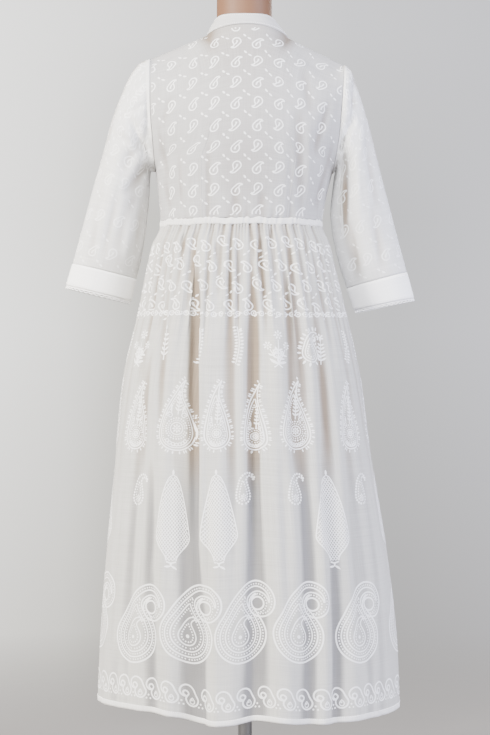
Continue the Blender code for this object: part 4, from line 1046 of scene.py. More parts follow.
# %% Sleeves and cuffs
CUFF_TOP = CUFF_STATION - 0.005
LAST_STATION = 9  # the sleeve table's last row, at the cuff's lower edge
ROUND_SLEEVE = 0.055  # metres of cloth for one radian round the sleeve
ALONG_SLEEVE = 0.047  # and for one row of its table
ROUND_CUFF = 0.060
CUFF_DEPTH = 0.043
for side, mark in ((-1, "left"), (1, "right")):
    turn = np.linspace(-math.pi, math.pi, 193)[:-1]
    station = np.linspace(0, CUFF_TOP, 121)
    around, along = np.meshgrid(turn, station)
    points = dressed("sleeve", side, around, along)
    turn_uv, along_uv = np.meshgrid(np.linspace(-math.pi, math.pi, 193), station)
    uv = np.stack([turn_uv * ROUND_SLEEVE, -along_uv * ALONG_SLEEVE], axis=-1)
    piece = cloth(f"sleeve_cloth_{mark}", points, uv, sleeve_cotton, closed=True)
    mark_fold_shade_depth(piece, hollows(points, 12, 0.0050, closed=True))
    finish(piece, "cotton", f"sleeve_{mark}")
    print(mark, "sleeve area", round(sheet_area(points, closed=True), 4))

    station = np.linspace(CUFF_STATION, LAST_STATION, 13)
    around, along = np.meshgrid(turn, station)
    roll = 0.0006 * np.sin(math.pi * (along - CUFF_STATION)) ** 0.25
    points = dressed("sleeve", side, around, along, 0.0004 + roll)
    turn_uv, along_uv = np.meshgrid(np.linspace(-math.pi, math.pi, 193), station)
    uv = np.stack([turn_uv * ROUND_CUFF, -along_uv * CUFF_DEPTH], axis=-1)
    piece = cloth(f"cuff_cloth_{mark}", points, uv, band_cotton, closed=True, thick=0.0012)
    finish(piece, "cotton_bands", f"cuff_band_{mark}")
    print(mark, "cuff area", round(sheet_area(points, closed=True), 4))

# %% [markdown]
# ## Collar and waist band
#
# The collar is a stiff band that stands up and does not quite meet at the centre front. The waist band is a
# narrow strip over the seam, which the gathers pull into fine puckers.


# %% Collar
ROUND_COLLAR = 0.055  # metres of cloth for one radian round the neck
COLLAR_CLOTH = 0.022

ends = 2 * math.pi - 2 * COLLAR_PARTING
turn, up = np.meshgrid(np.linspace(-ends / 2, ends / 2, 217), np.linspace(0, 1, 13))
points = collar_face(turn, up)
uv = np.stack([turn * ROUND_COLLAR, up * COLLAR_CLOTH], axis=-1)
piece = cloth("collar_cloth", points, uv, shaded_collar_cotton, thick=0.0015)
finish(piece, "cotton_bands", "collar_band")
print("collar area", round(sheet_area(points), 4))


# %% Waist band
ROUND_WAIST = 0.13  # metres of cloth for one radian round the waist
BAND_DEPTH = 0.009


def waist_face(turn, up, lift=0.0):
    """The band over the waist seam: an oval that follows the bodice's lower edge, rounded like a soft cord
    and puckered across. turn runs round from the centre back."""
    turn, up = np.broadcast_arrays(turn, up)
    width, back, front, centre = section_at(BODICE_SECTIONS, np.full_like(turn, WAIST_SEAM))
    depth = np.where(np.cos(turn) > 0, back, front)
    angle = np.arcsin(np.clip(np.sin(turn), -1, 1))
    pucker = np.sin(turn * 74 + 2.4 * np.sin(turn * 17)) * (0.6 + 0.4 * np.sin(turn * 29))
    proud = 0.0012 * np.sqrt(np.clip(1 - (2 * up - 1) ** 4, 0, 1)) + 0.0010 * pucker * np.sin(math.pi * up)
    facing = -np.sign(np.cos(turn))
    out = unit(np.stack([np.sin(angle) / width, facing * np.cos(angle) / depth, 0 * turn], -1))
    x = centre + width * np.sin(angle)
    y = facing * depth * roundness(angle)
    wave = 0.0009 * np.sin(turn * 11) + 0.0007 * np.sin(turn * 31 + 1) * np.sin(turn * 7)
    z = WAIST_SEAM + (up - 0.5) * (PIPING_HEIGHT + 0.0034 + 0.0014 * pucker) + wave
    return np.stack([x, y, z], axis=-1) + out * (proud + lift)[..., None]


turn, up = np.meshgrid(np.linspace(-math.pi, math.pi, 721)[:-1], np.linspace(0, 1, 9))
turn_uv, up_uv = np.meshgrid(np.linspace(-math.pi, math.pi, 721), np.linspace(0, 1, 9))
points = waist_face(turn, up)
uv = np.stack([turn_uv * ROUND_WAIST, up_uv * BAND_DEPTH], axis=-1)
piece = cloth("waist_band", points, uv, hem_cotton, closed=True, thick=0.0016)
finish(piece, "cotton_bands", "waist_piping")

# %% [markdown]
# ## Dress form and stand
#
# The form is a hard shell covered in tan cloth, with the smooth general shape of a figure and nothing more.
# It stands on a steel pole with a turned socket and a round base.


# %% Dress form
def form_ring(share, columns):
    """A loop round the form at one share of the bodice's height. It keeps a few millimetres inside the
    cloth and only touches it at the shoulders."""
    inside = WALL + SEATED + (CLEAR - SEATED) * (1 - ease(0.70, 0.97, share))
    inside = inside + NECK_CLEAR * (1 - ease(NECK_SHARE, 2 * NECK_SHARE, np.abs(columns)))
    inside = inside + EDGE_CLEAR * ease(0.75, 1, np.abs(columns))
    behind = bodice_face(-1, columns, share, inside)
    ahead = bodice_face(1, columns[::-1], share, inside)
    part = np.linspace(0, 1, 9)[1:-1, None]
    right = behind[-1] * (1 - part) + ahead[0] * part
    left = ahead[-1] * (1 - part) + behind[0] * part
    return np.concatenate([behind, right, ahead, left])


def low_ring(height, columns, shrink=1.0):
    """A level loop round the form below the waist seam, an oval a little fuller than an ellipse."""
    width, back, front, centre = section_at(FORM_SECTIONS, np.array(height))
    behind = columns * math.pi / 2
    sides = []
    for side, angle in ((-1, behind), (1, behind[::-1])):
        depth = (back if side < 0 else front) * shrink * roundness(angle)
        x = centre + width * shrink * np.sin(angle)
        sides.append(np.stack([x, side * depth, height + 0 * angle], -1))
    right = np.repeat(sides[0][-1:], 7, axis=0)
    left = np.repeat(sides[0][:1], 7, axis=0)
    return np.concatenate([sides[0], right, sides[1], left])


def shell_of_rows(name, parts, material, caps):
    """Joins grids of rings, closes the ends that caps names as (part, row), welds what meets and turns the
    faces outwards."""
    points, faces, starts = [], [], []
    for rows in parts:
        starts.append(sum(len(done) for done in points))
        points.append(rows.reshape(-1, 3))
        faces += (grid_quads(len(rows), len(rows[0]), closed=True) + starts[-1]).tolist()
    for part, row in caps:
        count = len(parts[part][0])
        first = starts[part] + (row % len(parts[part])) * count
        faces.append(list(range(first, first + count)))
    mesh = bpy.data.meshes.new(name)
    mesh.from_pydata(np.concatenate(points).tolist(), [], faces)
    solid = bmesh.new()
    solid.from_mesh(mesh)
    bmesh.ops.remove_doubles(solid, verts=solid.verts, dist=1e-5)
    bmesh.ops.recalc_face_normals(solid, faces=solid.faces)
    solid.to_mesh(mesh)
    solid.free()
    mesh.shade_smooth()
    mesh.materials.append(material)
    thing = bpy.data.objects.new(name, mesh)
    bpy.context.scene.collection.objects.link(thing)
    print(name, len(mesh.polygons), "faces")
    return thing


neck_turn = np.linspace(-math.pi / 2, math.pi / 2, 33)
on_neck = NECK_SHARE * np.sin(neck_turn)
on_left = np.linspace(-1, -NECK_SHARE, 29)
columns = np.concatenate([on_left[:-1], on_neck, -on_left[-2::-1]])
armpit = armhole_heights(3)[0]
shares = np.concatenate([np.linspace(0, armpit, 12)[:-1], armhole_heights(33)])
# Each row is how far above the lower edge a ring lies, and its size beside the full one
EDGE_RINGS = ((0, 0.950), (0.0015, 0.975), (0.005, 0.992), (0.011, 1))
lows = [(FORM_BOTTOM + rise, shrink) for rise, shrink in EDGE_RINGS]
lows += [(height, 1.0) for height in np.linspace(0.66, 1.066, 34)]
torso = np.stack([low_ring(height, columns, shrink) for height, shrink in lows])
torso = np.concatenate([torso, np.stack([form_ring(share, columns) for share in shares])])

half = len(columns) + 7
index = 28 + np.arange(33)
root = torso[-1][np.concatenate([index, (half + index)[1:-1]])]
turn = np.arctan2(root[:, 0] - NECK_MIDDLE, -root[:, 1])


def neck_ring(share):
    """A level ring of the form's neck."""
    x = NECK_MIDDLE + FORM_NECK_WIDTH * share * np.sin(turn)
    return np.stack([x, -FORM_NECK_BACK - FORM_NECK_DEPTH * share * np.cos(turn)], axis=-1)


rise = np.linspace(0, 1, 15)[:, None]
blend = smooth_curve([0, 0.10, 0.28, 0.55, 1.0], [0, 0.35, 0.70, 0.93, 1.0], rise)[..., None]
level = root[:, 2] + rise * (NECK_ROOT - root[:, 2])
flat = root[None, :, :2] * (1 - blend) + neck_ring(1.0)[None] * blend
neck = [np.dstack([flat, level])]
# Each row is how far below the neck's top a ring lies, and its size beside the full one
NECK_RINGS = ((0.060, 1.0), (0.030, 1.0), (0.006, 0.995), (0.003, 0.98), (0.001, 0.945), (0, 0.90), (0, 0.5))
for down, share in NECK_RINGS:
    ring = neck_ring(share)
    neck.append(np.dstack([ring[None], np.full((1, len(ring)), NECK_TOP - down)]))
neck = np.concatenate(neck)
piece = shell_of_rows("form_shell", [torso, neck], form_cover, [(0, 0), (1, -1)])
finish(piece, "form_cover", "form_torso")


# %% Stand
def spun(name, profile, sides, material):
    """A round piece: its profile of radius and height, from the bottom up, carried round the upright axis."""
    turn = np.linspace(0, 2 * math.pi, sides, endpoint=False)
    radius, height = np.array(profile).T
    ring = np.stack([np.cos(turn), np.sin(turn)], axis=-1)
    heights = np.tile(height[:, None, None], (1, sides, 1))
    rows = np.concatenate([radius[:, None, None] * ring, heights], axis=-1)
    return shell_of_rows(name, [rows], material, [(0, 0), (0, -1)])


corner = np.linspace(0, math.pi / 2, 6)
base_profile = [(BASE_RADIUS - 0.0015, 0.0), (BASE_RADIUS, 0.0012), (BASE_RADIUS, 0.0055)]
base_profile += [(BASE_RADIUS - 0.0045 * (1 - np.cos(a)), 0.0055 + 0.0045 * np.sin(a)) for a in corner[1:]]
base_profile += [(SOCKET_RADIUS + 0.004, BASE_THICK), (SOCKET_RADIUS + 0.001, BASE_THICK + 0.001)]
base_profile += [(SOCKET_RADIUS, BASE_THICK + 0.004), (SOCKET_RADIUS, SOCKET_HEIGHT - 0.004)]
base_profile += [(SOCKET_RADIUS - 0.001, SOCKET_HEIGHT - 0.001), (SOCKET_RADIUS - 0.003, SOCKET_HEIGHT)]
piece = spun("base_plate", base_profile, 128, steel)
finish(piece, "stand_steel", "stand_base")
pole_profile = [(POLE_RADIUS - 0.0006, SOCKET_HEIGHT + SEAM_GAP), (POLE_RADIUS, SOCKET_HEIGHT + 0.001)]
pole_profile += [(POLE_RADIUS, FORM_BOTTOM - 0.001), (POLE_RADIUS - 0.0006, FORM_BOTTOM - SEAM_GAP)]
piece = spun("pole_tube", pole_profile, 48, steel)
finish(piece, "stand_steel", "stand_pole")

# %% [markdown]
# ## Front closing
#
# The collar's band has to open somewhere, so the front has a narrow placket with four small shell buttons.
# The placket is made from the front panel's own points, moved out, so it lies on the cloth in every crease.

# %% Placket and buttons
half_width = math.asin(PLACKET_WIDTH / 2 / BODICE_SECTIONS[5].half_width) * 2 / math.pi
across, up = np.meshgrid(np.linspace(-1, 1, 17), np.linspace(PLACKET_BOTTOM, PLACKET_TOP, 61))
edge = np.sqrt(np.clip(1 - across**8, 0, 1))
points = dressed("bodice", 1, across * half_width, up, 0.0006 + 0.0012 * edge)
uv = metres(across * half_width, -up, BODICE_WIDTH, BODICE_LENGTH)
finish(cloth("placket_cloth", points, uv, band_cotton, thick=0.0011), "cotton_bands", "front_placket")

turn = np.linspace(0, 2 * math.pi, 40, endpoint=False)
# A button's profile from the dip in its middle to its underside, as shares of its radius and thickness
rims = [(0.30, 0.55), (0.55, 0.55), (0.66, 0.72), (0.80, 0.95)]
rims += [(0.92, 0.96), (1.0, 0.70), (1.0, 0.25), (0.94, 0.0)]
for number, share in enumerate(np.linspace(PLACKET_BOTTOM + 0.06, PLACKET_TOP - 0.035, BUTTONS), start=1):
    place = dressed("bodice", 1, 0.0, share)
    normal = unit(dressed("bodice", 1, 0.0, share, 1.0) - place)
    place = place + normal * (0.0018 + LAYER_GAP)
    sideways = unit(np.cross([0.0, 0.0, 1.0], normal))
    ring = np.cos(turn)[:, None] * sideways + np.sin(turn)[:, None] * np.cross(normal, sideways)
    rows = [place + ring * BUTTON_RADIUS * wide + normal * BUTTON_THICK * high for wide, high in rims]
    piece = shell_of_rows(f"shell_button_{number}", [np.stack(rows)], shell, [(0, 0), (0, -1)])
    finish(piece, "shell_buttons", f"button_{number}")


# %% [markdown]
# ## Picot lace and stitches
#
# The lace under each cuff is a narrow woven tape with a row of small thread loops. Each loop is a thin tube
# carried along an arch. Sewing is drawn as small grains, one for each stitch, that stand a little proud.


# %% Tubes and grains
def tubes(paths, ways_out, radius, sides=6):
    """Tubes along many open paths at once. paths and ways_out are (n, m, 3), the second gives a direction
    that isn't along the path. Returns the points and the faces."""
    count, steps = paths.shape[:2]
    along = unit(np.gradient(paths, axis=1))
    out = unit(ways_out - (ways_out * along).sum(-1, keepdims=True) * along)
    beside = np.cross(along, out)
    turn = np.linspace(0, 2 * math.pi, sides, endpoint=False)
    around = np.cos(turn)[:, None] * out[:, :, None] + np.sin(turn)[:, None] * beside[:, :, None]
    radius = np.broadcast_to(radius, (count, steps))[..., None, None]
    points = paths[:, :, None] + around * radius
    quads = grid_quads(steps, sides, closed=True)
    faces = quads[None] + np.arange(count)[:, None, None] * steps * sides
    return points.reshape(-1, 3), faces.reshape(-1, 4)[:, ::-1]


def join(name, made, material, slot, *nodes):
    """One piece from several pairs of points and faces."""
    start = np.cumsum([0] + [len(points) for points, _ in made])[:-1]
    faces = np.concatenate([one + first for (_, one), first in zip(made, start)])
    thing = new_piece(name, np.concatenate([points for points, _ in made]), faces, material)
    print(f"{name}: {len(faces)} faces")
    return finish(thing, slot, *nodes)


def stitches(path, ways_out, pitch=0.0034, length=0.0025, width=0.00035):
    """A row of stitches along a path: each is a short grain, thick in its middle, that lies on the cloth."""
    far = np.concatenate([[0], np.cumsum(np.linalg.norm(np.diff(path, axis=0), axis=1))])
    count = max(int(far[-1] / pitch), 1)
    middle = (np.arange(count) + 0.5) * far[-1] / count
    grain = np.array([-0.5, -0.3, 0.3, 0.5]) * length
    wanted = middle[:, None] + grain
    points = np.stack([np.interp(wanted, far, path[:, axis]) for axis in range(3)], axis=-1)
    out = np.stack([np.interp(wanted, far, ways_out[:, axis]) for axis in range(3)], axis=-1)
    sink = np.array([-0.0003, 0.0001, 0.0001, -0.0003])[:, None]
    return tubes(points + out * sink, out, np.array([0.4, 1, 1, 0.4]) * width, sides=5)


# %% Lace under the cuffs
PICOTS = 38
PICOT_THREAD = 0.00085  # radius of the thread of a loop


def cuff_edge(side, around):
    """The cuff's lower edge, which way the cuff runs there, and which way is out."""
    edge = dressed("sleeve", side, around, float(LAST_STATION), -0.0001)
    way = unit(edge - dressed("sleeve", side, around, float(CUFF_STATION)))
    return edge, way, unit(dressed("sleeve", side, around, float(LAST_STATION), 1.0) - edge)


for side, mark in ((-1, "left"), (1, "right")):
    around = np.linspace(-math.pi, math.pi, 229)[:-1]
    edge, way, out = cuff_edge(side, around)
    drop = np.linspace(0.0003, 0.0022, 5)[:, None, None]
    tape = edge[None] + way[None] * drop
    uv = np.zeros((5, 229, 2))
    uv[..., 0], uv[..., 1] = np.meshgrid(np.linspace(0, 0.33, 229), np.linspace(0, 0.002, 5))
    strip = cloth(f"lace_tape_{mark}", tape, uv, band_cotton, closed=True, thick=0.0008)
    finish(strip, "cotton_bands", f"cuff_lace_{mark}")

    step = np.linspace(0, math.pi, 13)
    middle = (np.arange(PICOTS) + 0.5) / PICOTS * 2 * math.pi - math.pi
    around = middle[:, None] - np.cos(step) * 0.40 * 2 * math.pi / PICOTS
    edge, way, out = cuff_edge(side, around)
    loops = edge - out * 0.0005 + way * (0.0020 + 0.0032 * np.sin(step) ** 0.8)[None, :, None]
    made = [tubes(loops, out, PICOT_THREAD)]
    join(f"lace_picots_{mark}", made, thread, "cotton_bands", f"cuff_lace_{mark}")

# %% Rows of stitches
rows = []
turn_list = np.linspace(-math.pi, math.pi, 721)
for side in (-1, 1):
    for station in (CUFF_STATION + 0.10, 8.86):
        path = dressed("sleeve", side, turn_list, station, 0.0009)
        out = unit(dressed("sleeve", side, turn_list, station, 1.0) - path)
        rows.append(stitches(path, out))
for up_share in (0.14, 0.88):
    turn = np.linspace(-ends / 2, ends / 2, 401)
    path = collar_face(turn, up_share)
    out = np.stack([np.sin(turn), -np.cos(turn), 0 * turn], axis=-1)
    rows.append(stitches(path, out))
for place in (-0.80, 0.80):
    up = np.linspace(PLACKET_BOTTOM, PLACKET_TOP, 161)
    path = dressed("bodice", 1, place * half_width, up, 0.0017)
    out = unit(dressed("bodice", 1, place * half_width, up, 1.0) - path)
    rows.append(stitches(path, out))
join("seam_stitches", rows, thread, "cotton_bands")

# %% [markdown]
# ## Hem, armhole edges and darts
#
# Where cotton is folded or sewn it has two or more layers, so it looks whiter and less see-through. These
# places are narrow strips made from the same surface, moved out by the thickness of a layer: the skirt's
# hem, the seam allowance inside each armhole, and the folded cloth of each dart.


# %% Strips on a panel
def strip_on(name, kind, side, across, down, lift, material, slot="cotton"):
    """A strip of cloth that lies on a panel. across and down are grids, rows along the strip."""
    points = dressed(kind, side, across, down, lift)
    uv = np.stack([across * 0.5, -down * SKIRT_LENGTH], axis=-1)
    return finish(cloth(name, points, uv, material, thick=0.0003), slot)


for side, mark in ((-1, "back"), (1, "front")):
    across, down = np.meshgrid(np.linspace(-0.997, 0.997, 561), np.linspace(0.9885, 0.9995, 4))
    strip_on(f"hem_{mark}", "skirt", side, across, down, 0.0005, hem_cotton)

# The seam allowance of each armhole, turned towards the sleeve
for side, mark in ((-1, "left"), (1, "right")):
    around, along = np.meshgrid(np.linspace(-0.96 * math.pi, 0.96 * math.pi, 193), np.linspace(0.03, 0.45, 5))
    strip_on(f"armhole_{mark}", "sleeve", side, around, along, 0.0004, hem_cotton)

# The back darts: folded cloth, widest at the waist and running out to a point
for number, place in enumerate(DART_PLACES, start=1):
    up = np.linspace(0.004, DART_TOP, 81)[:, None]
    wide = 0.014 * (1 - up / DART_TOP) ** 0.6 + 0.001
    across = place + np.linspace(-0.5, 0.5, 5)[None, :] * wide
    strip_on(f"dart_{number}", "bodice", -1, across, np.broadcast_to(up, across.shape), 0.0004, bodice_cotton)

# Stitches of the hem
rows = []
across = np.linspace(-0.99, 0.99, 1201)
for side in (-1, 1):
    path = dressed("skirt", side, across, 0.9893, 0.0006)
    rows.append(stitches(path, unit(dressed("skirt", side, across, 0.9893, 1.0) - path)))
join("hem_stitches", rows, thread, "cotton")

# %% [markdown]
# ## Block print
#
# A printer presses a carved wooden block dipped in paste, row after row, so every copy of a motif is alike
# and only its place differs a little. It is made the same way here: a motif is drawn once, flat, in
# millimetres, as ribbons along curves, and then every copy of it is pressed on to the cloth in one step.
# Each point of a copy becomes a place on the panel, and the panel's own surface says where that lies, so
# the print bends into every fold and gather. The motifs are traditional ones: paisley or kairi, small
# sprigs, rosettes and a border.


# %% Drawing a motif
def ribbon(line, wide, closed=False):
    """A flat ribbon along a line of points (n, 2), in millimetres. wide is its width, one number or n."""
    line = np.asarray(line, float)
    if closed:
        ahead, behind = np.roll(line, -1, axis=0), np.roll(line, 1, axis=0)
        along = unit(ahead - behind)
    else:
        along = unit(np.gradient(line, axis=0))
    beside = np.stack([-along[:, 1], along[:, 0]], axis=-1) * np.broadcast_to(wide, len(line))[:, None] / 2
    points = np.stack([line - beside, line + beside], axis=1).reshape(-1, 2)
    first = np.arange(len(line) if closed else len(line) - 1)[:, None] * 2
    return points, (first + [0, 2, 3, 1]) % len(points)


def motif(*ribbons):
    """Several ribbons as one drawing: points (n, 2) and faces."""
    start = np.cumsum([0] + [len(points) for points, _ in ribbons])[:-1]
    faces = np.concatenate([one + first for (_, one), first in zip(ribbons, start)])
    return np.concatenate([points for points, _ in ribbons]), faces


def moved(drawing, x=0.0, y=0.0, turn=0.0, size=1.0, flip=1.0):
    """A drawing that is scaled, turned in degrees and moved in its own plane. flip of -1 mirrors it."""
    points, faces = drawing
    angle = math.radians(turn)
    spin = np.array([[math.cos(angle), math.sin(angle)], [-math.sin(angle), math.cos(angle)]])
    return points * [flip * size, size] @ spin + [x, y], faces


def dot(radius, x=0.0, y=0.0):
    """A round spot of eight corners: two ribbons side by side."""
    turn = np.radians([[202.5, 157.5], [247.5, 112.5], [292.5, 67.5], [337.5, 22.5]])
    points = np.stack([np.cos(turn), np.sin(turn)], axis=-1).reshape(-1, 2) * radius + [x, y]
    return points, np.array([[0, 2, 3, 1], [2, 4, 5, 3], [4, 6, 7, 5]])


def ring(radius, wide, sides=14):
    """A circle drawn with a thin line."""
    turn = np.linspace(0, 2 * math.pi, sides, endpoint=False)
    return ribbon(np.stack([np.cos(turn), np.sin(turn)], axis=-1) * radius, wide, closed=True)


def leaf(length, wide, bend=0.0, steps=7):
    """A solid leaf that starts at the origin and points up: widest in its middle, bent to the right."""
    along = np.linspace(0, 1, steps)
    line = np.stack([bend * length * along**2, length * along], axis=-1)
    return ribbon(line, wide * np.sin(math.pi * (0.04 + 0.92 * along)) ** 0.8)


def dots_along(line, radius, pitch):
    """Spots at an even pitch along a closed line."""
    line = np.concatenate([line, line[:1]])
    far = np.concatenate([[0], np.cumsum(np.linalg.norm(np.diff(line, axis=0), axis=1))])
    even = (np.arange(int(far[-1] / pitch)) + 0.5) * pitch
    return [dot(radius, np.interp(at, far, line[:, 0]), np.interp(at, far, line[:, 1])) for at in even]


def flower(radius, petals, wide):
    """A small flower seen from above: a spot and solid petals round it."""
    parts = [dot(radius * 0.26)]
    for number in range(petals):
        petal = moved(leaf(radius * 0.68, wide, steps=5), 0, radius * 0.34)
        parts.append(moved(petal, turn=360 * number / petals))
    return motif(*parts)


def spiral(radius, turns, wide, start=0.0, steps=26):
    """A line that winds inwards, thinner towards its middle."""
    along = np.linspace(0, 1, steps)
    angle = math.radians(start) + 2 * math.pi * turns * along
    line = np.stack([np.cos(angle), np.sin(angle)], axis=-1) * (radius * (1 - 0.85 * along))[:, None]
    return ribbon(line, wide * (1 - 0.4 * along))


# %% Curled drops
THINNEST = 0.35  # half width, in millimetres, at which a drop's tip ends


def curled_drop(bulb, neck, straight, length, turn, inset=0.0, pitch=3.4):
    """The outline of a drop, moved inwards by inset. Its round bulb stands on the origin. Above it the drop
    narrows to a neck that runs straight up, then winds to the right through the whole turn and ends there."""
    high = np.linspace(inset + 0.05, length, 400)
    round_part = np.sqrt(np.clip((bulb - inset) ** 2 - (bulb - high) ** 2, 0, None))
    long_part = neck + (bulb - neck) * (1 - ease(bulb, max(straight, bulb) * 1.45, high)) - inset
    half = np.where(high < bulb, round_part, long_part) - neck * ease(0.45 * length, length, high)
    end = len(high)
    if (half[200:] < THINNEST).any():
        end = max(int(np.argmax((half < THINNEST) & (high > bulb * 0.6))), 12)
    heading = math.radians(turn) * np.clip((high - straight) / (length - straight), 0, 1) ** 1.45
    step = np.gradient(high)
    x = np.cumsum(np.sin(heading) * step)
    y = np.cumsum(np.cos(heading) * step) + inset
    out = half[:, None] * np.stack([np.cos(heading), -np.sin(heading)], axis=-1)
    centre = np.stack([x, y], axis=-1)
    outline = np.concatenate([(centre - out)[:end], (centre + out)[:end][::-1]])
    far = np.concatenate([[0], np.cumsum(np.linalg.norm(np.diff(outline, axis=0), axis=1))])
    even = np.linspace(0, far[-1], max(int(far[-1] / pitch), 8), endpoint=False)
    return np.stack([np.interp(even, far, outline[:, axis]) for axis in (0, 1)], axis=-1)


def frill(line, length, wide, pitch):
    """Small leaves that stand outwards all along a closed line."""
    ahead = np.roll(line, -1, axis=0) - np.roll(line, 1, axis=0)
    outwards = unit(np.stack([-ahead[:, 1], ahead[:, 0]], axis=-1))
    far = np.concatenate([[0], np.cumsum(np.linalg.norm(np.diff(line, axis=0), axis=1))])
    made = []
    for at in np.arange(pitch / 2, far[-1], pitch):
        number = int(np.searchsorted(far, at))
        way = outwards[min(number, len(line) - 1)]
        place = line[min(number, len(line) - 1)] + way * 1.6
        lean = math.degrees(math.atan2(-way[0], way[1]))
        made.append(moved(leaf(length, wide, steps=5), *place, turn=lean))
    return made


# %% The printer's blocks
def small_mango():
    """The smallest block: one curled outline with a comma inside."""
    return motif(
        ribbon(curled_drop(7.2, 3.0, 12, 30, 150, pitch=1.8), 2.3, closed=True),
        ribbon([(0.0, 5.0), (-0.6, 8.0), (0.4, 11.5), (2.2, 14.5)], [3.2, 2.8, 2.2, 1.2]),
    )


def twin_leaves():
    """Two small solid leaves in one slanting line."""
    one = moved(leaf(7.0, 3.6, 0.1), turn=48, x=-1.0, y=0.8)
    return motif(one, moved(leaf(7.5, 3.4, -0.1), turn=232, x=1.2, y=-1.0))


def rosette():
    """A ring with a spot in it."""
    return motif(ring(3.9, 2.0), dot(1.6))


def fern(height, pairs, reach, wide=1.9):
    """A stem with leaves in pairs, smaller towards its tip."""
    parts = [ribbon([(0, 0), (0.3, height * 0.4), (0, height)], [1.8, 1.5, 1.0])]
    for number in range(pairs):
        share = (number + 1) / (pairs + 1)
        size = reach * (1 - 0.5 * share)
        for hand in (-1, 1):
            parts.append(moved(leaf(size, wide, 0.1, steps=5), turn=-hand * 52, y=height * share * 0.92))
    parts.append(moved(leaf(reach * 0.7, wide * 1.2, steps=5), y=height * 0.97))
    return motif(*parts)


def comb(height=66.0):
    """A stem with short thick leaves close together on both sides, bent like a bow."""
    stem = np.stack([5.0 * np.sin(np.linspace(0, math.pi, 24)) - 3, np.linspace(0, height, 24)], axis=-1)
    return motif(ribbon(stem, 1.6), *frill(np.concatenate([stem, stem[::-1]]), 6.5, 3.4, 5.6))


def bouquet():
    """A fan of stems, each with a flower and leaves, over a pair of leaves."""
    parts = []
    for tilt, tall, size in ((-25, 36, 7.5), (4, 52, 8.5), (30, 38, 7.5), (-8, 22, 5.5), (22, 20, 5.5)):
        stem = ribbon([(0, 0), (0.4, tall * 0.5), (0, tall - size)], [2.0, 1.8, 1.4])
        parts.append(moved(stem, turn=-tilt))
        parts.append(moved(moved(flower(size, 7, 3.2), y=tall), turn=-tilt))
        for hand in (-1, 1):
            parts.append(moved(moved(leaf(9, 3.4, 0.2), turn=-52 * hand, y=tall * 0.45), turn=-tilt))
    for tilt in (-66, 66):
        parts.append(moved(leaf(16, 5.0, 0.2), turn=-tilt))
    parts.append(ribbon([(-7, -6), (0, 0), (7, -6)], 2.4))
    return motif(*parts)


def frilled_mango():
    """A curled drop with leaves all round it, spots inside and a spray that climbs up beside it."""
    shape = 15, 6, 30, 74, 160
    outer = curled_drop(*shape)
    parts = [ribbon(outer, 2.0, closed=True), ribbon(curled_drop(*shape, inset=4.6), 1.6, closed=True)]
    parts += frill(outer, 8.0, 3.6, 6.2)
    parts += dots_along(curled_drop(*shape, inset=8.4), 1.3, 4.0)
    parts.append(moved(fern(44, 5, 12, 3.6), 20, -6, turn=-10))
    parts.append(moved(flower(7, 6, 3.2), 27, 42))
    return motif(*parts)


def rich_mango(length=128.0, bulb=27.0):
    """The rich block: a frill of leaves round two outlines, a rosette of rings in the bulb, scrolls beside
    it, a row of rings along its foot, and a sprig that fills the tip."""
    neck, straight, turn = bulb * 0.34, length * 0.55, 48
    shape = bulb, neck, straight, length, turn
    outer = curled_drop(*shape)
    parts = [ribbon(outer, 2.2, closed=True), ribbon(curled_drop(*shape, inset=4.2), 1.7, closed=True)]
    parts += frill(outer, 5.6, 2.8, 5.4)
    parts += dots_along(curled_drop(*shape, inset=7.6), 1.25, 3.9)
    centre = np.array([0.0, bulb * 1.22])
    heart = bulb * 0.34
    parts.append(moved(flower(heart * 0.75, 8, 3.0), *centre))
    parts.append(moved(ring(heart, 1.7, sides=26), *centre))
    parts += dots_along(ring(heart + 3.4, 1.0, sides=26)[0][::2] + centre, 1.2, 3.8)
    foot = np.linspace(-0.9, 0.9, 7)
    for angle in foot:
        place = bulb * np.array([0.62 * math.sin(angle), 1 - 0.62 * math.cos(angle) - 0.06])
        parts.append(moved(ring(bulb * 0.085, 1.5), *place))
    for hand in (-1, 1):
        scroll = moved(spiral(bulb * 0.19, 1.3, 1.8), hand * bulb * 0.40, bulb * 1.95, flip=hand)
        parts += [scroll, moved(leaf(bulb * 0.5, 3.2, 0.2), hand * bulb * 0.30, bulb * 2.1, turn=-hand * 12)]
    parts += dots_along(ring(heart + 7.2, 1.0, sides=30)[0][::2] + centre, 1.5, 4.6)
    parts.append(moved(fern(length * 0.36, 6, bulb * 0.30, 2.9), 1.5, bulb * 2.0, turn=-5))
    return motif(*parts)


def spotted_mango(bulb=12.5, length=78.0):
    """A curled drop drawn in spots alone, with a spot flower inside."""
    shape = bulb, 5, 34, length, 250
    parts = dots_along(curled_drop(*shape), 2.0, 5.0)
    parts += dots_along(curled_drop(*shape, inset=5.4), 1.5, 4.4)
    parts.append(moved(flower(5.4, 6, 2.8), 0.4, bulb))
    return motif(*parts)


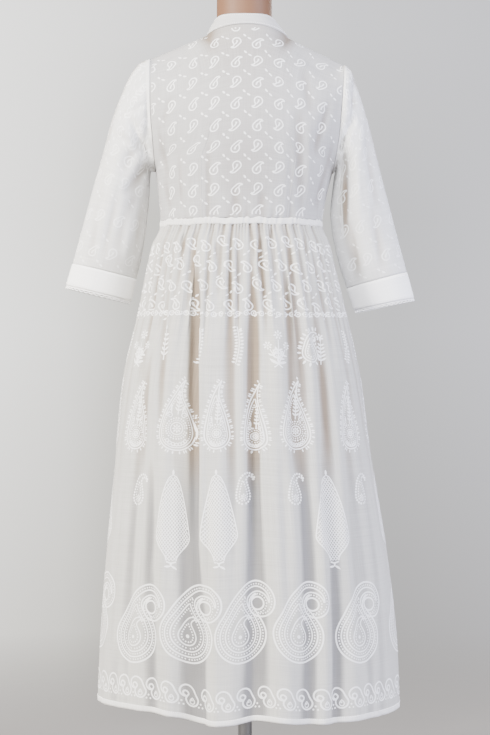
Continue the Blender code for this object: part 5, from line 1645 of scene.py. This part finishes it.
def lattice_cone(height=146.0, wide=54.0, pitch=5.4):
    """A tall cone filled with a fine net, on a small foot. Its sides swell to their widest at two fifths of
    its height and come together at the top, and the net is lines both ways that stop at the sides."""
    along = np.linspace(0, 1, 40)
    swell = 0.25 + 0.75 * ease(0, 0.28, along)
    closing = np.sqrt(np.clip(1 - np.clip(along - 0.3, 0, 1) / 0.7, 0, 1))
    half = wide / 2 * swell * closing
    left = np.stack([-half, height * along], axis=-1)
    parts = [ribbon(np.concatenate([left, left[::-1] * [-1, 1]]), 1.9)]
    climb = np.linspace(0, height, 120)
    for start in np.arange(-height * 0.8 - wide, wide, pitch):
        x = start + climb * 0.8
        inside = np.abs(x) < np.interp(climb, height * along, half) - 1.0
        if inside.sum() < 4:
            continue
        for hand in (-1, 1):
            parts.append(ribbon(np.stack([hand * x, climb], axis=-1)[inside][::3], 1.35))
    parts.append(moved(leaf(10, 4.2), y=height - 1))
    parts.append(ribbon([(-8, -2), (0, -4.5), (8, -2)], 2.6))
    parts.append(ribbon([(0, -3), (0, -10)], [4.4, 2.4]))
    parts += [moved(leaf(11, 3.6, 0.25), y=-9, turn=-tilt) for tilt in (-110, 110)]
    return motif(*parts)


def great_mango(bulb=38.0):
    """The largest block: outlines one inside the other, plain and spotted by turns, whose neck winds into a
    big spiral at the top right, with a small drop low in the bulb."""
    shape = bulb, 11.5, 66, 218, 500
    parts = []
    # Each row is how far in an outline lies, its line's width, and the radius of its spots where it has no
    # line
    outlines = ((0, 2.4, 0), (4.1, 0, 1.2), (7.6, 2.0, 0), (11.4, 0, 1.2), (15, 1.8, 0), (19, 0, 1.2))
    for inset, line, spots in outlines:
        outline = curled_drop(*shape, inset=inset)
        parts += dots_along(outline, spots, 4.0) if spots else [ribbon(outline, line, closed=True)]
    small = 12.5, 4, 24, 58, 190
    parts.append(moved(ribbon(curled_drop(*small, pitch=2.4), 1.8, closed=True), -1, bulb * 0.62))
    for drawing in dots_along(curled_drop(*small, inset=4.2), 1.2, 3.8):
        parts.append(moved(drawing, -1, bulb * 0.62))
    parts.append(moved(dot(2.6), -1, bulb * 0.95))
    return motif(*parts)


def border_wave():
    """The border's block: a double drop whose head winds in at the top left, and three spots beside its
    foot."""
    shape = 10.8, 5.6, 15, 62, 330
    parts = [ribbon(curled_drop(*shape, pitch=2.2), 2.9, closed=True)]
    parts.append(ribbon(curled_drop(7.4, 2.0, 12, 32, 60, inset=3.4, pitch=2.2), 2.0, closed=True))
    parts.append(moved(dot(1.6), 0.6, 9.5))
    parts = [moved(drawing, 0, -22, flip=-1) for drawing in parts]
    parts += [dot(1.8, 15.5, -16.0), dot(1.7, 12.0, -21.5), dot(1.7, 19.0, -21.5)]
    return motif(*parts)


print("the great block has", len(great_mango()[1]), "faces")


# %% [markdown]
# ## Pressing the blocks
#
# A copy's place is found from where it shows in the picture: a few steps of Newton's method turn a picture
# point into a place on the panel. Then the block's own millimetres are divided by how long the surface is
# there for one unit of each parameter. The rows follow the photo's order: small mangoes over the bodice,
# sleeves and upper skirt, a line of rosettes, then rows of larger blocks down to the border.


# %% Pressing
STEPS = {"bodice": (0.03, 0.02), "skirt": (0.04, 0.02), "sleeve": (0.15, 0.3)}
UPWARDS = {"bodice": 1, "skirt": -1, "sleeve": -1}
EDGES = {"bodice": (0.012, 0.985), "skirt": (0.010, 0.984), "sleeve": (0.06, CUFF_STATION - 0.10)}
press_random = np.random.default_rng(11)


def lengths(kind, side, across, down):
    """How many millimetres of cloth one unit of each parameter is worth at a place."""
    step, fall = STEPS[kind]
    wide = bare(kind, side, across + step, down) - bare(kind, side, across - step, down)
    tall = bare(kind, side, across, down + fall) - bare(kind, side, across, down - fall)
    return (
        np.linalg.norm(wide, axis=-1) / (2 * step) * 1000,
        np.linalg.norm(tall, axis=-1) / (2 * fall) * 1000,
    )


def spots(kind, side, px, py):
    """The places on a panel that show at these points of the picture. The front is taken as if it were
    looked at in the same way from the other side. Places off the panel are left out."""
    px, py = np.asarray(px, float).ravel(), np.asarray(py, float).ravel()
    across = np.zeros_like(px)
    down = np.full_like(px, 0.5)

    def seen(a, b):
        point = bare(kind, side, a, b)
        near = CAMERA_DISTANCE / (CAMERA_DISTANCE - side * point[..., 1])
        x = point[..., 0] * (-side) * near / PIXEL + PICTURE[0] / 2
        return np.stack([x, PICTURE[1] / 2 - (point[..., 2] - CAMERA_HEIGHT) * near / PIXEL], axis=-1)

    for _ in range(12):
        here = seen(across, down)
        one = (seen(across + 0.01, down) - seen(across - 0.01, down)) / 0.02
        two = (seen(across, down + 0.01) - seen(across, down - 0.01)) / 0.02
        miss = np.stack([px, py], axis=-1) - here
        scale = one[:, 0] * two[:, 1] - one[:, 1] * two[:, 0]
        scale = np.where(np.abs(scale) < 1, 1, scale)
        across = np.clip(across + (miss[:, 0] * two[:, 1] - miss[:, 1] * two[:, 0]) / scale, -0.98, 0.98)
        down = np.clip(down + (one[:, 0] * miss[:, 1] - one[:, 1] * miss[:, 0]) / scale, 0.01, 0.99)
    off = np.linalg.norm(seen(across, down) - np.stack([px, py], axis=-1), axis=-1)
    return across[off < 3], down[off < 3], np.flatnonzero(off < 3)


def press(kind, side, block, across, down, turn=0.0, size=1.0, flip=1.0, lift=0.0004):
    """Presses one block at many places of a panel at once. Faces that would cross the panel's edge are left
    out, as the cutter's scissors leave them out."""
    drawing, faces = block
    across, down = np.atleast_1d(across), np.atleast_1d(down)
    count = len(across)
    turn = np.radians(np.broadcast_to(turn, count) + press_random.normal(0, 1.2, count))
    flip = np.broadcast_to(flip, count)
    shape = drawing[None] * np.stack([flip * size, size + 0 * flip], axis=-1)[:, None]
    shape = shape + press_random.normal(0, 0.5, (count, 1, 2))
    cos, sin = np.cos(turn)[:, None], np.sin(turn)[:, None]
    right = shape[..., 0] * cos - shape[..., 1] * sin
    rise = shape[..., 0] * sin + shape[..., 1] * cos
    wide, tall = lengths(kind, side, across, down)
    hand = -side
    a = across[:, None] + hand * right / wide[:, None]
    b = down[:, None] + UPWARDS[kind] * rise / tall[:, None]
    points = dressed(kind, side, a, b, lift)
    low, high = EDGES[kind]
    good = (b > low) & (b < high) & ((np.abs(a) < 0.985) | (kind == "sleeve"))
    every = faces[None] + np.arange(count)[:, None, None] * drawing.shape[0]
    whole = good.ravel()[every].all(axis=-1)
    corner = points.reshape(-1, 3)[every]
    normal = np.cross(corner[:, :, 2] - corner[:, :, 0], corner[:, :, 3] - corner[:, :, 1])
    away = dressed(kind, side, a, b, lift + 0.001).reshape(-1, 3)[every][:, :, 0] - corner[:, :, 0]
    turned = (normal * away).sum(-1) < 0
    every = np.where(turned[..., None], every[..., ::-1], every)
    return points.reshape(-1, 3), every[whole]


# %% Print of the bodice
BODICE_ROWS = (26, 43, 61.5, 82, 102.5, 124.5, 146, 167.5, 189, 210.5)
ROW_PITCH = 21.5
ROW_SAG = 7.0
for side, mark in ((-1, "back"), (1, "front")):
    columns = 236 + ROW_PITCH * np.arange(-6, 7)
    px, py = np.meshgrid(columns, BODICE_ROWS)
    py = py + ROW_SAG * ((px - PICTURE[0] / 2) / 95) ** 2
    across, up, which = spots("bodice", side, px, py)
    row, column = np.divmod(which, len(columns))
    if side > 0:
        clear = np.abs(across) > 0.09
        across, up, row, column = across[clear], up[clear], row[clear], column[clear]
    pointing = np.where((row + column) % 2 == 0, -16, 164)
    made = [press("bodice", side, moved(small_mango(), y=-11), across, up, pointing)]
    across, up, which = spots("bodice", side, px + ROW_PITCH / 2, py + ROW_PITCH / 2)
    if side > 0:
        clear = np.abs(across) > 0.09
        across, up = across[clear], up[clear]
    made.append(press("bodice", side, twin_leaves(), across, up))
    join(f"print_bodice_{mark}", made, print_paste, "cotton")

# %% Print of the sleeves
for side, mark in ((-1, "left"), (1, "right")):
    around, along = np.meshgrid(np.arange(10) * math.pi / 5 - 0.85 * math.pi, 0.45 + np.arange(9) * 0.86)
    number = np.add.outer(np.arange(9), np.arange(10)).ravel()
    pointing = np.where(number % 2 == 0, -16, 164)
    made = [press("sleeve", side, moved(small_mango(), y=-11), around.ravel(), along.ravel(), pointing)]
    between = (around + math.pi / 10).ravel(), (along + 0.43).ravel()
    made.append(press("sleeve", side, twin_leaves(), *between))
    join(f"print_sleeve_{mark}", made, print_paste, "cotton")

# %% Print of the skirt
# columns and y are pixels of the picture; sides are shares of the half panel, for what the picture hides
Row = namedtuple("Row", "block y columns turn sides", defaults=[()])
SKIRT_BLOCKS = [
    Row(moved(fern(56, 5, 11, 3.6), y=-28), 344, (164,), 3),
    Row(moved(comb(), y=-34), 345, (238, 198), -4),
    Row(moved(bouquet(), y=-26), 349, (278, 140), 0),
    Row(moved(frilled_mango(), y=-30), 345, (311,), 6),
    Row(moved(comb(58), y=-30), 347, (346,), -6, (0.90,)),
    Row(moved(rich_mango(134, 31), y=-63), 414, (177,), 0),
    Row(moved(rich_mango(130, 26), y=-61), 414, (296,), 0),
    Row(moved(rich_mango(130, 22), y=-61), 414, (137, 216, 348), 0, (0.91,)),
    Row(moved(rich_mango(128, 19), y=-61), 414, (254,), 0),
    Row(moved(spotted_mango(), y=-30), 487, (138, 243, 295, 360), 0, (0.90,)),
    Row(moved(lattice_cone(wide=64), y=-66), 522, (172, 218, 331), 0, (0.87,)),
    Row(moved(great_mango(), y=-66, size=1.22), 624, (135, 189, 241, 299, 360), 0, (0.85,)),
]
SPRIGS = 17  # in each of the four rows under the waist
SPRIG_ROWS = (0.045, 0.088, 0.128, 0.168)  # shares of the way down
SPRIG_SHIFT = 0.055  # by which every second row is moved across
LEVEL_SLIP = 0.0035  # how unevenly the blocks of a row are placed
ROSETTES = 42
ROSETTE_ROW = 0.187
CURLS = 25
CURL_ROW = 0.945
for side, mark in ((-1, "back"), (1, "front")):
    made = []
    for number, down in enumerate(SPRIG_ROWS):
        across = np.linspace(-0.95, 0.92, SPRIGS) + (SPRIG_SHIFT if number % 2 else 0.0)
        level = down + press_random.normal(0, LEVEL_SLIP, SPRIGS)
        pointing = np.where(np.arange(SPRIGS) % 2 == 0, 16, 196)
        made.append(press("skirt", side, moved(small_mango(), y=-11), across, level, pointing, 0.98, flip=-1))
        made.append(press("skirt", side, twin_leaves(), across + 0.056, level + 0.020, 0, 0.9, flip=-1))
    across = np.linspace(-0.97, 0.97, ROSETTES)
    level = np.full(ROSETTES, ROSETTE_ROW)
    made.append(press("skirt", side, rosette(), across, level))
    made.append(press("skirt", side, dot(1.3), across + 0.0237, level))
    for row in SKIRT_BLOCKS:
        columns = row.columns if side < 0 else [PICTURE[0] - x for x in row.columns]
        across, down, _ = spots("skirt", side, columns, np.full(len(columns), row.y))
        beside = np.outer((-1, 1), row.sides).ravel()
        across, down = np.append(across, beside), np.append(down, np.full(len(beside), down.mean()))
        made.append(press("skirt", side, row.block, across, down, row.turn))
    across = np.linspace(-0.975, 0.975, CURLS)
    made.append(press("skirt", side, border_wave(), across, np.full(CURLS, CURL_ROW)))
    join(f"print_skirt_{mark}", made, print_paste, "cotton")

# %% [markdown]
# ## The kind of row for the cut of a sheet
#
# A row of this kind gives one sheet of cloth as it would lie flat on the cutter's table: its width and length
# in metres, its area where it isn't a rectangle, how it is held, and the small pieces that go with it. No
# rows are listed.

Cut = namedtuple("Cut", "piece wide long area held rests_on extras")
